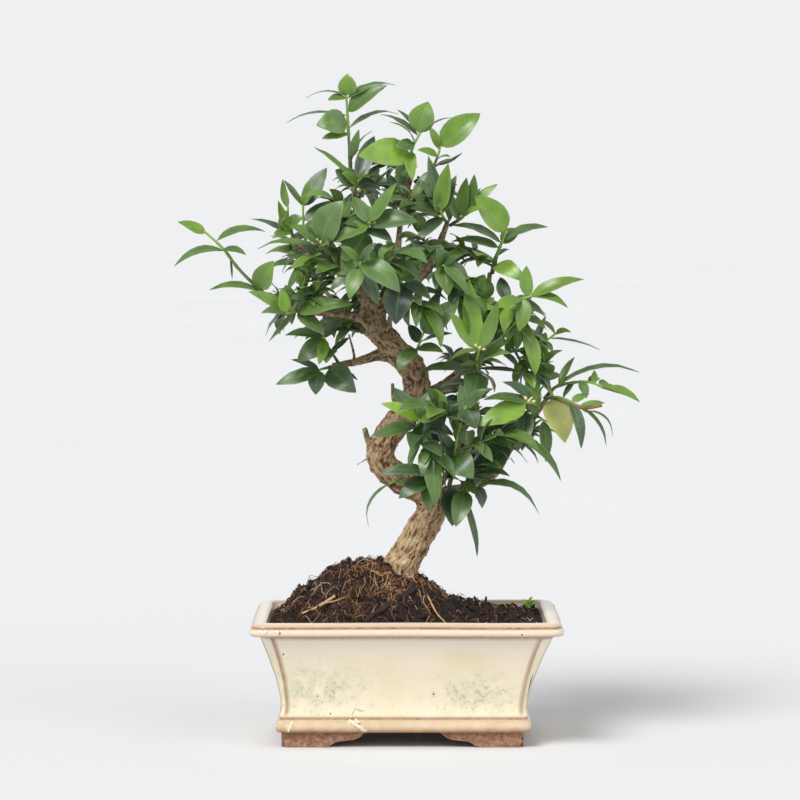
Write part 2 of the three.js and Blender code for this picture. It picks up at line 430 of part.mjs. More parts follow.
// Turns a profile of (inset, height) points round the pot. An inset of null is the axis.
function turned(profile, heightAt) {
  const rings = profile.map(([inset]) => (inset === null ? null : outline(inset)));
  const sides = 20;
  const geometry = new THREE.LatheGeometry(
    profile.map(([inset, z]) => new THREE.Vector2(inset === null ? 0 : 1, z)),
    sides,
  );
  const position = geometry.attributes.position;
  for (let i = 0; i <= sides; i++)
    profile.forEach(([, z, share = 1], j) => {
      const [x, y] = rings[j] ? rings[j][i % sides] : [0, 0];
      const shift = BASE_SHIFT * (1 - Math.min(1, z / RIM_SKIRT));
      const px = x * share + shift;
      const py = y * share;
      position.setXYZ(i * profile.length + j, px, py, heightAt ? heightAt(px, py, z) : z);
    });
  return solid(geometry);
}

// One arm of a bracket foot: its side view, flat on the ground and then an ogee up to the base.
function footArm(length, outer, sign) {
  const sole = length - 24;
  const points = [
    [0, FOOT_HEIGHT + 1.5], [0, FOOT_HEIGHT], [2.3, 0], [sole, 0], [sole + 1.9, 1.3],
    [sole + 3.8, 3], [sole + 6.3, 3.8], [sole + 11.4, 4.3], [sole + 17.7, 5],
    [sole + 20.8, 7.1], [length, FOOT_HEIGHT], [length, FOOT_HEIGHT + 1.5],
  ];
  const shape = new THREE.Shape(
    points.map(([d, z]) => new THREE.Vector2(sign * (outer - d), z)),
  );
  return new THREE.ExtrudeGeometry(shape, { depth: FOOT_THICKNESS, bevelEnabled: false });
}

function makePot() {
  const wall = WALL_CURVE.getPoints(7).map((p) => [p.x, p.y]);
  const inside = wall
    .slice(0, -1)
    .map(([inset, z]) => [inset + WALL, z])
    .concat([[27, FLOOR_TOP + 3], [30, FLOOR_TOP]]);
  let pot = turned([
    [null, FOOT_HEIGHT], [20.2, FOOT_HEIGHT], [19.2, 11.5], [18.9, 14], [19.2, 16.8],
    [20.4, 18.2], ...wall.reverse(), [0.6, RIM_SKIRT], [0, RIM_SKIRT + 0.8], [0, RIM_EDGE - 0.6],
    [0.8, RIM_EDGE], [8.5, RIM_TOP], [11, RIM_TOP - 0.8], ...inside, [null, FLOOR_TOP],
  ]);
  const outerX = POT_LENGTH / 2 - FOOT_INSET;
  const outerY = POT_WIDTH / 2 - FOOT_INSET;
  for (const sx of [-1, 1])
    for (const sy of [-1, 1]) {
      const long = footArm(FOOT_ARM_LONG, outerX, sx).rotateX(Math.PI / 2);
      long.translate(BASE_SHIFT, sy > 0 ? outerY : FOOT_THICKNESS - outerY, 0);
      const short = footArm(FOOT_ARM_SHORT, outerY, sy).applyMatrix4(
        new THREE.Matrix4().makeBasis(
          new THREE.Vector3(0, 1, 0),
          new THREE.Vector3(0, 0, 1),
          new THREE.Vector3(1, 0, 0),
        ),
      );
      short.translate(BASE_SHIFT + (sx > 0 ? outerX - FOOT_THICKNESS : -outerX), 0, 0);
      pot = pot.add(solid(long)).add(solid(short));
    }
  for (const side of [-1, 1]) {
    const drill = new THREE.CylinderGeometry(DRAIN_RADIUS, DRAIN_RADIUS, 30, 16);
    drill.rotateX(Math.PI / 2).translate(side * DRAIN_OFFSET, 0, FLOOR_TOP);
    pot = pot.subtract(solid(drill));
  }
  return pot;
}

// A square of plastic mesh over a drain hole, under the soil: a plate with square cells.
function makeDrainMesh(side) {
  const pitch = (MESH_SIDE - MESH_BAR) / MESH_CELLS;
  const cell = pitch - MESH_BAR;
  let mesh = solid(new THREE.BoxGeometry(MESH_SIDE, MESH_SIDE, MESH_THICKNESS));
  for (let i = 0; i < MESH_CELLS; i++)
    for (let j = 0; j < MESH_CELLS; j++) {
      const cutter = new THREE.BoxGeometry(cell, cell, 3 * MESH_THICKNESS);
      const middle = (MESH_CELLS - 1) / 2;
      cutter.translate((i - middle) * pitch, (j - middle) * pitch, 0);
      mesh = mesh.subtract(solid(cutter));
    }
  return mesh.translate([side * DRAIN_OFFSET, 0, FLOOR_TOP + GAP + MESH_THICKNESS / 2]);
}

// Height of the soil: a mound behind the trunk's foot that dies away towards the wall.
function soilHeight(x, y) {
  const spread = x < MOUND_X ? MOUND_LEFT : MOUND_RIGHT;
  const along = Math.exp(-(((x - MOUND_X) / spread) ** 2));
  const across = Math.cos((Math.PI / 2) * Math.min(1, Math.abs(y) / MOUND_DEPTH)) ** 2;
  const inner = WALL + 9;
  const toWall = Math.min(POT_LENGTH / 2 - inner - Math.abs(x), POT_WIDTH / 2 - inner - Math.abs(y));
  const margin = THREE.MathUtils.smoothstep(toWall, 0, MOUND_MARGIN);
  return SOIL_EDGE + MOUND_HEIGHT * along * across * margin;
}

function makeSoil() {
  const wall = WALL_CURVE.getPoints(7).map((p) => [p.x + WALL + GAP + 0.1, p.y]);
  const sides = wall.filter(([, z]) => z > 24 && z < SOIL_EDGE - 6).reverse();
  const meshTop = FLOOR_TOP + GAP + MESH_THICKNESS + GAP;
  const top = [1, 0.86, 0.68, 0.5, 0.32, 0.15].map((share) => [WALL + 9.4, SOIL_EDGE, share]);
  const profile = [[null, meshTop], [30.5, meshTop], ...sides, ...top, [null, SOIL_EDGE]];
  return turned(profile, (x, y, z) => (z === SOIL_EDGE ? soilHeight(x, y) : z));
}

// Points on the soil from (x, y) pairs, sunk a little into it.
function onSoil(pairs, radius) {
  return pairs.map(
    ([x, y]) => new THREE.Vector3(x, y, soilHeight(x, y) + radius * (1 - 2 * SUNK)),
  );
}

// Tree

function trunkRod(growth) {
  const points = drawnOut(TRUNK.map(place), growth);
  const radii = TRUNK.map((row) => row[3]);
  const lengths = [0];
  points.slice(1).forEach((p, i) => lengths.push(lengths[i] + p.distanceTo(points[i])));
  const whole = lengths.at(-1);
  const radiusAt = (t) => {
    const i = Math.max(1, lengths.findIndex((l) => l >= t * whole - 1e-6));
    const share = (t * whole - lengths[i - 1]) / (lengths[i] - lengths[i - 1]);
    return growth + THREE.MathUtils.lerp(radii[i - 1], radii[i], share);
  };
  return rod(points, radiusAt, TRUNK_SIDES, 34);
}

// The trunk with its limbs and stubs, made thicker all round by a growth.
function makeTrunk(growth) {
  return [...LIMBS, ...STUBS].reduce(
    (tree, [, foot, end, points]) =>
      tree.add(taperedRod(points.map(place), foot, end, LIMB_SIDES, growth)),
    trunkRod(growth),
  );
}

// A leaf: a folded, arched blade from its foot to its tip. Its four corners at the widest
// place are the two edges and the two faces.
function leaf(foot, tip, width, arch, roll) {
  const along = tip.clone().sub(foot).normalize();
  const base = foot.clone().addScaledVector(along, -LEAF_ROOT);
  const across = (v, spare) => {
    const flat = v.clone().addScaledVector(along, -v.dot(along));
    return flat.length() > 0.05 ? flat.normalize() : across(spare, v);
  };
  const up = new THREE.Vector3(0, 0, 1);
  const front = new THREE.Vector3(0, -1, 0);
  const angle = THREE.MathUtils.degToRad(roll);
  const face = across(up, front).multiplyScalar(Math.cos(angle));
  face.addScaledVector(across(front, up), Math.sin(angle)).normalize();
  const side = along.clone().cross(face).normalize();
  const geometry = new THREE.SphereGeometry(1, 4, 2);
  const position = geometry.attributes.position;
  for (let i = 0; i < position.count; i++) {
    const x = Math.round(position.getX(i));
    const z = Math.round(position.getZ(i));
    const end = Math.round(position.getY(i));
    const share = end === 0 ? MIDDLE : (end + 1) / 2;
    const rise = 4 * arch * share * (1 - share) + Math.abs(x) * (width / 2) * FOLD;
    const at = base.clone().lerp(tip, share);
    at.addScaledVector(side, (x * width) / 2);
    at.addScaledVector(face, (end === 0 ? rise : 0) + z * LEAF_HALF_THICKNESS);
    position.setXYZ(i, at.x, at.y, at.z);
  }
  return solid(geometry);
}

// The rows of a stem's leaves, by rule: they turn by the golden angle up the stem, lean
// closer to it towards its tip, and droop.
function ruledLeaves(curve, count, longest, turn) {
  const up = new THREE.Vector3(0, 0, 1);
  return Array.from({ length: count }, (_, i) => {
    const share = i / (count - 1);
    const t = THREE.MathUtils.lerp(RULE_FIRST_LEAF, 1, share);
    const base = curve.getPointAt(Math.min(t, LAST_LEAF));
    const tangent = curve.getTangentAt(t);
    const sideways = tangent.clone().cross(up).normalize();
    const upright = sideways.clone().cross(tangent);
    const phase = THREE.MathUtils.degToRad(turn) + i * GOLDEN_TURN;
    const lean = THREE.MathUtils.degToRad(THREE.MathUtils.lerp(...RULE_SPREAD, share));
    const out = sideways.multiplyScalar(Math.cos(phase)).addScaledVector(upright, Math.sin(phase));
    const length = longest * (0.8 + 0.2 * Math.sin(2.1 * i));
    const tip = base.clone().addScaledVector(tangent, length * Math.cos(lean));
    tip.addScaledVector(out, length * Math.sin(lean));
    tip.z -= RULE_DROOP * length;
    return { base, tip, width: RULE_WIDTH * length, arch: RULE_ARCH * length, roll: 20 };
  });
}

const bare = makeTrunk(0);
const grown = makeTrunk(GAP);

function boxesMeet(a, b) {
  return [0, 1, 2].every((k) => a.min[k] <= b.max[k] && b.min[k] <= a.max[k]);
}

const placed = []; // every solid of the crown so far, with its owner and box

function isClear(made, owner) {
  const box = made.boundingBox();
  return placed.every(
    (other) =>
      other.owner === owner ||
      !boxesMeet(box, other.box) ||
      made.intersect(other.solid).volume() < MOST_OVERLAP,
  );
}

function keep(made, owner) {
  placed.push({ solid: made, owner, box: made.boundingBox() });
}

// A leaf that would pass through its neighbours has its tip brought forward or back.
function clearLeaf(name, { base, tip, width, arch, roll }) {
  for (const shift of TIP_SHIFTS) {
    const aside = tip.clone().add(new THREE.Vector3(0, shift, 0));
    const made = leaf(base, aside, width, arch, roll);
    const trunkBox = grown.boundingBox();
    const hitsTrunk =
      boxesMeet(made.boundingBox(), trunkBox) && made.intersect(grown).volume() > MOST_OVERLAP;
    if (!hitsTrunk && isClear(made, name)) return made;
  }
  return null;
}

// A shoot with as many of its leaves as have room.
function leafedOut(name, shoot, leaves) {
  return leaves.reduce((plant, row) => {
    const made = clearLeaf(name, row);
    if (!made) return plant;
    keep(made, name);
    return plant.add(made);
  }, shoot);
}

const frontStems = SHOOTS.map(([name, foot, points, rows]) => {
  const spots = points.map(place);
  const curve = new THREE.CatmullRomCurve3(spots, false, "centripetal");
  const leaves = rows.map(([t, x, y, z, width, arch, roll]) => ({
    base: curve.getPoint(Math.min(t, LAST_LEAF)),
    tip: place([x, y, z]),
    width,
    arch,
    roll,
  }));
  return { name, stem: taperedRod(spots, foot, SHOOT_TIP, STEM_SIDES), leaves };
});

// A stem that grows by rule from a foot, and its leaves.
function ruledStem(name, foot, radius, [direction, length, count, longest, turn]) {
  const way = new THREE.Vector3(...direction).normalize();
  const points = [0, 0.5, 1].map((s) => {
    const p = foot.clone().addScaledVector(way, length * s);
    p.z += STEM_RISE * length * s * s;
    return p;
  });
  const curve = new THREE.CatmullRomCurve3(points, false, "centripetal");
  const stem = taperedRod(points, radius, SHOOT_TIP, STEM_SIDES);
  return { name, stem, leaves: ruledLeaves(curve, count, longest, turn) };
}

const rearStems = REAR_SHOOTS.map(([name, limb, t, ...rule]) => {
  const spots = LIMBS.find(([limbName]) => limbName === limb)[3].map(place);
  const foot = new THREE.CatmullRomCurve3(spots, false, "centripetal").getPointAt(t);
  return ruledStem(name, foot, REAR_FOOT_RADIUS, rule);
});

// A side twig's smaller leaves, every second one, are left to its looks.
const sideTwigs = SIDE_TWIGS.map(([name, t, ...rule]) => {
  const spots = SHOOTS.find(([shootName]) => shootName === name)[2].map(place);
  const foot = new THREE.CatmullRomCurve3(spots, false, "centripetal").getPointAt(t);
  const twig = ruledStem(name, foot, TWIG_FOOT_RADIUS, rule);
  return { ...twig, leaves: twig.leaves.filter((_, i) => i % 2 === 0) };
});

const stems = [...frontStems, ...rearStems];
[...stems, ...sideTwigs].forEach(({ name, stem }) => keep(largest(stem.subtract(grown)), name));

const shoots = new Map();
for (const { name, stem, leaves } of stems)
  shoots.set(name, leafedOut(name, largest(stem.subtract(grown)), leaves));
for (const { name, stem, leaves } of sideTwigs)
  shoots.set(name, leafedOut(name, shoots.get(name).add(largest(stem.subtract(grown))), leaves));

const tree = new THREE.Group();
tree.add(piece("trunk", bare, "#7a5a44", 0.85));
for (const [name, shoot] of shoots) tree.add(piece(name, largest(shoot), "#4f7a3a", 0.45));

// Roots, twigs and a seedling on the soil
const litter = [
  ["surface_root", [[6, -18], [2, -26], [-8, -35], [-18, -43], [-27, -50]], 2.6, 1.6, "#2c1d15"],
  ["pale_root", [[8, -10], [14, -24], [19, -38], [26, -54]], 1.1, 0.6, "#b79e84"],
  ["dry_twig", [[-67, -40], [-57, -37], [-46, -32]], 1, 0.7, "#b5763c"],
];

let soil = makeSoil().subtract(grown);
const ground = new THREE.Group();
for (const [name, pairs, foot, end, color] of litter) {
  const points = onSoil(pairs, (foot + end) / 2);
  soil = soil.subtract(taperedRod(points, foot, end, STEM_SIDES + 2, GAP));
  const made = taperedRod(points, foot, end, STEM_SIDES).subtract(grown);
  ground.add(piece(name, largest(made), color, 0.8));
}

// A dead root that forks as it comes out of the soil
const forks = ROOT_STUB_TIPS.map((tip) => [ROOT_STUB_FOOT, tip].map((p) => new THREE.Vector3(...p)));
const joined = (growth) =>
  forks
    .map(([foot, tip]) => taperedRod([foot, foot.clone().lerp(tip, 0.5), tip], 1.7, 1.2, 6, growth))
    .reduce((a, b) => a.add(b));
soil = soil.subtract(joined(GAP));
ground.add(piece("root_stub", joined(0), "#4a3426", 0.9));

// A seedling by the right wall
const shootUp = SEEDLING_STEM.map((p) => new THREE.Vector3(...p));
soil = soil.subtract(taperedRod(shootUp, 0.7, 0.6, STEM_SIDES, GAP));
const seedling = SEEDLING_TIPS.reduce(
  (plant, tip, i) => {
    const foot = shootUp[1].clone().lerp(shootUp[2], 0.35 + 0.18 * i);
    return plant.add(leaf(foot, new THREE.Vector3(...tip), 3.6, 0.7, 40));
  },
  taperedRod(shootUp, 0.7, 0.6, STEM_SIDES),
);
ground.add(piece("seedling", seedling, "#6f9a45", 0.5));

ground.add(piece("soil", largest(soil), "#33241b", 1));
ground.add(piece("pot", makePot(), "#ecdfc6", 0.25));
ground.add(piece("drain_mesh_left", makeDrainMesh(-1), "#2b2b2b", 0.6));
ground.add(piece("drain_mesh_right", makeDrainMesh(1), "#2b2b2b", 0.6));

const bonsai = new THREE.Group();
bonsai.add(ground, tree);
export default bonsai;
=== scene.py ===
"""A myrtle-leaf orange grown as a bonsai, in a glazed pot: its looks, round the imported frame.

+X is to the right, -Y to the front and +Z up. Shapes are worked out in millimetres and turned
into metres when a mesh is made.
"""

import math
from functools import partial

import bmesh
import bpy
import numpy as np
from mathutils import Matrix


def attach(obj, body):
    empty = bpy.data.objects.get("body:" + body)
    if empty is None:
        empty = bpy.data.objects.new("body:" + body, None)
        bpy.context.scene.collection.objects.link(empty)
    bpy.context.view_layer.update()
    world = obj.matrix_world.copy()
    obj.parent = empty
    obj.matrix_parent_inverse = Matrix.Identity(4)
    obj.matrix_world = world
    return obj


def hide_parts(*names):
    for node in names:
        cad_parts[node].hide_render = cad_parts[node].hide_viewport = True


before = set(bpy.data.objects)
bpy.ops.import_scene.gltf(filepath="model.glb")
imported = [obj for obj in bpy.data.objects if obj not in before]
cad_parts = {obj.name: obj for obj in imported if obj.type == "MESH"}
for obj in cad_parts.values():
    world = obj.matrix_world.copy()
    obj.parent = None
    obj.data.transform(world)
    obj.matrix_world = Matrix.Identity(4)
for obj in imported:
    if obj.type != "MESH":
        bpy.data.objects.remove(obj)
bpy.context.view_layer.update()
MM = 0.001

# The camera stands where the front view of the tree was read from
EYE = np.array([-4.2, -2215.0, 341.6])
PITCH = 3.153  # degrees below level
LENS = 153.6  # millimetres on a sensor 36 mm wide

# Pot, as in the construction
POT_LENGTH, POT_WIDTH = 200.0, 145.0
RIM_SKIRT = 73.6
RIM_CORNER, LEAST_CORNER = 9.0, 3.0
FOOT_HEIGHT, FLOOR_TOP = 9.9, 17.0
BASE_SHIFT = -2.5
FOOT_INSET, FOOT_THICKNESS = 22.5, 8.0
ROLL_INSET = 18.9  # from the rim's outline to the foot roll's crest
FOOT_ARM_LONG, FOOT_ARM_SHORT = 54.0, 36.0
DRAIN_RADIUS, DRAIN_OFFSET = 8.0, 38.0

# Soil, as in the construction
SOIL_EDGE = 77.5
MOUND_HEIGHT, MOUND_X = 37.5, -30.0
MOUND_LEFT, MOUND_RIGHT = 44.0, 60.0
MOUND_DEPTH, MOUND_MARGIN = 62.0, 14.0
SOIL_INSET = 15.0  # from the rim's outline to the soil's edge

# Trunk: x, depth, z, radius, as seen against the pot's middle plane
TRUNK = [
    [-5, 0, 99, 12.5],
    [-4, 0, 109, 11],
    [3, 1, 123, 10],
    [11, 3, 137, 9.6],
    [16, 5, 149, 9.6],
    [13, 5, 159, 9.4],
    [3, 3, 165, 9],
    [-9, 0, 172, 8.8],
    [-17, -3, 183, 8.6],
    [-13, -4, 195, 8.6],
    [-4, -1, 207, 8.4],
    [5, 2, 219, 8.4],
    [7, 3, 230, 8.2],
    [2, 2, 243, 8],
    [-8, 0, 253, 7.8],
    [-17, -1, 263, 7.6],
    [-22, -1, 273, 7.2],
    [-24, 0, 281, 6],
]

# Limbs: name, radius at the foot, radius at the end, points
LIMBS = [
    ["leader", 3.2, 1.7, [
        [-23, 0, 277], [-25, 3, 296], [-26, 4, 317], [-31, 3, 341], [-36, 0, 365]]],
    ["upper_right", 4.2, 1.8, [
        [-22, 0, 275], [-5, -3, 288], [12, -4, 303], [20, -5, 318], [26, -8, 333]]],
    ["crown", 2.4, 1.3, [[-7, -3, 287], [-6, 8, 309], [-4, 11, 333], [1, 5, 356], [5, 0, 370]]],
    ["upper_left", 3, 1.5, [
        [-23, 0, 274], [-35, -11, 299], [-50, -16, 308], [-62, -17, 312], [-70, -17, 320]]],
    ["far_left", 2.6, 1.4, [[-21, -3, 270], [-43, -21, 275], [-66, -26, 277], [-87, -26, 283]]],
    ["lower_left", 3.4, 1.8, [[-11, 0, 251], [-35, -3, 244], [-47, -3, 242]]],
    ["middle_right", 3.2, 1.6, [
        [6, 3, 225], [25, 11, 226], [41, 13, 232], [48, 11, 249], [51, 8, 275], [54, 3, 301]]],
    ["lower_right", 4, 1.6, [
        [11, 5, 154], [31, 5, 160], [54, 0, 169], [68, -5, 189], [81, -9, 206], [91, -12, 220]]],
    ["back_upper", 3, 1.5, [[-17, 0, 265], [-15, 22, 281], [-9, 44, 304], [-5, 56, 327]]],
    ["back_left", 2.8, 1.4, [[-9, 2, 252], [-24, 24, 262], [-42, 44, 277], [-53, 54, 291]]],
    ["back_right", 3, 1.4, [[6, 2, 222], [22, 28, 229], [41, 46, 244], [56, 56, 255]]],
    ["back_low", 2.8, 1.4, [[11, 6, 156], [22, 26, 165], [31, 42, 180], [36, 50, 195]]],
]

# Dead stubs and bare twigs, in the same form
STUBS = [
    ["left_stub", 2.4, 1.7, [[-15, -3, 184], [-23, -5, 189], [-27, -6, 200]]],
    ["short_stub", 1.8, 1.2, [[-3, -2, 213], [-8, -6, 219], [-9, -7, 229]]],
    ["fork_stub", 2.0, 1.4, [[-14, -2, 262], [-11, -8, 267], [-11, -9, 273]]],
    ["thin_twig", 0.9, 0.5, [[-16, -4, 182], [-24, -9, 182], [-31, -11, 178]]],
    ["bare_twig", 1.2, 0.7, [[-35, -3, 243], [-34, -8, 248], [-37, -10, 261]]],
]

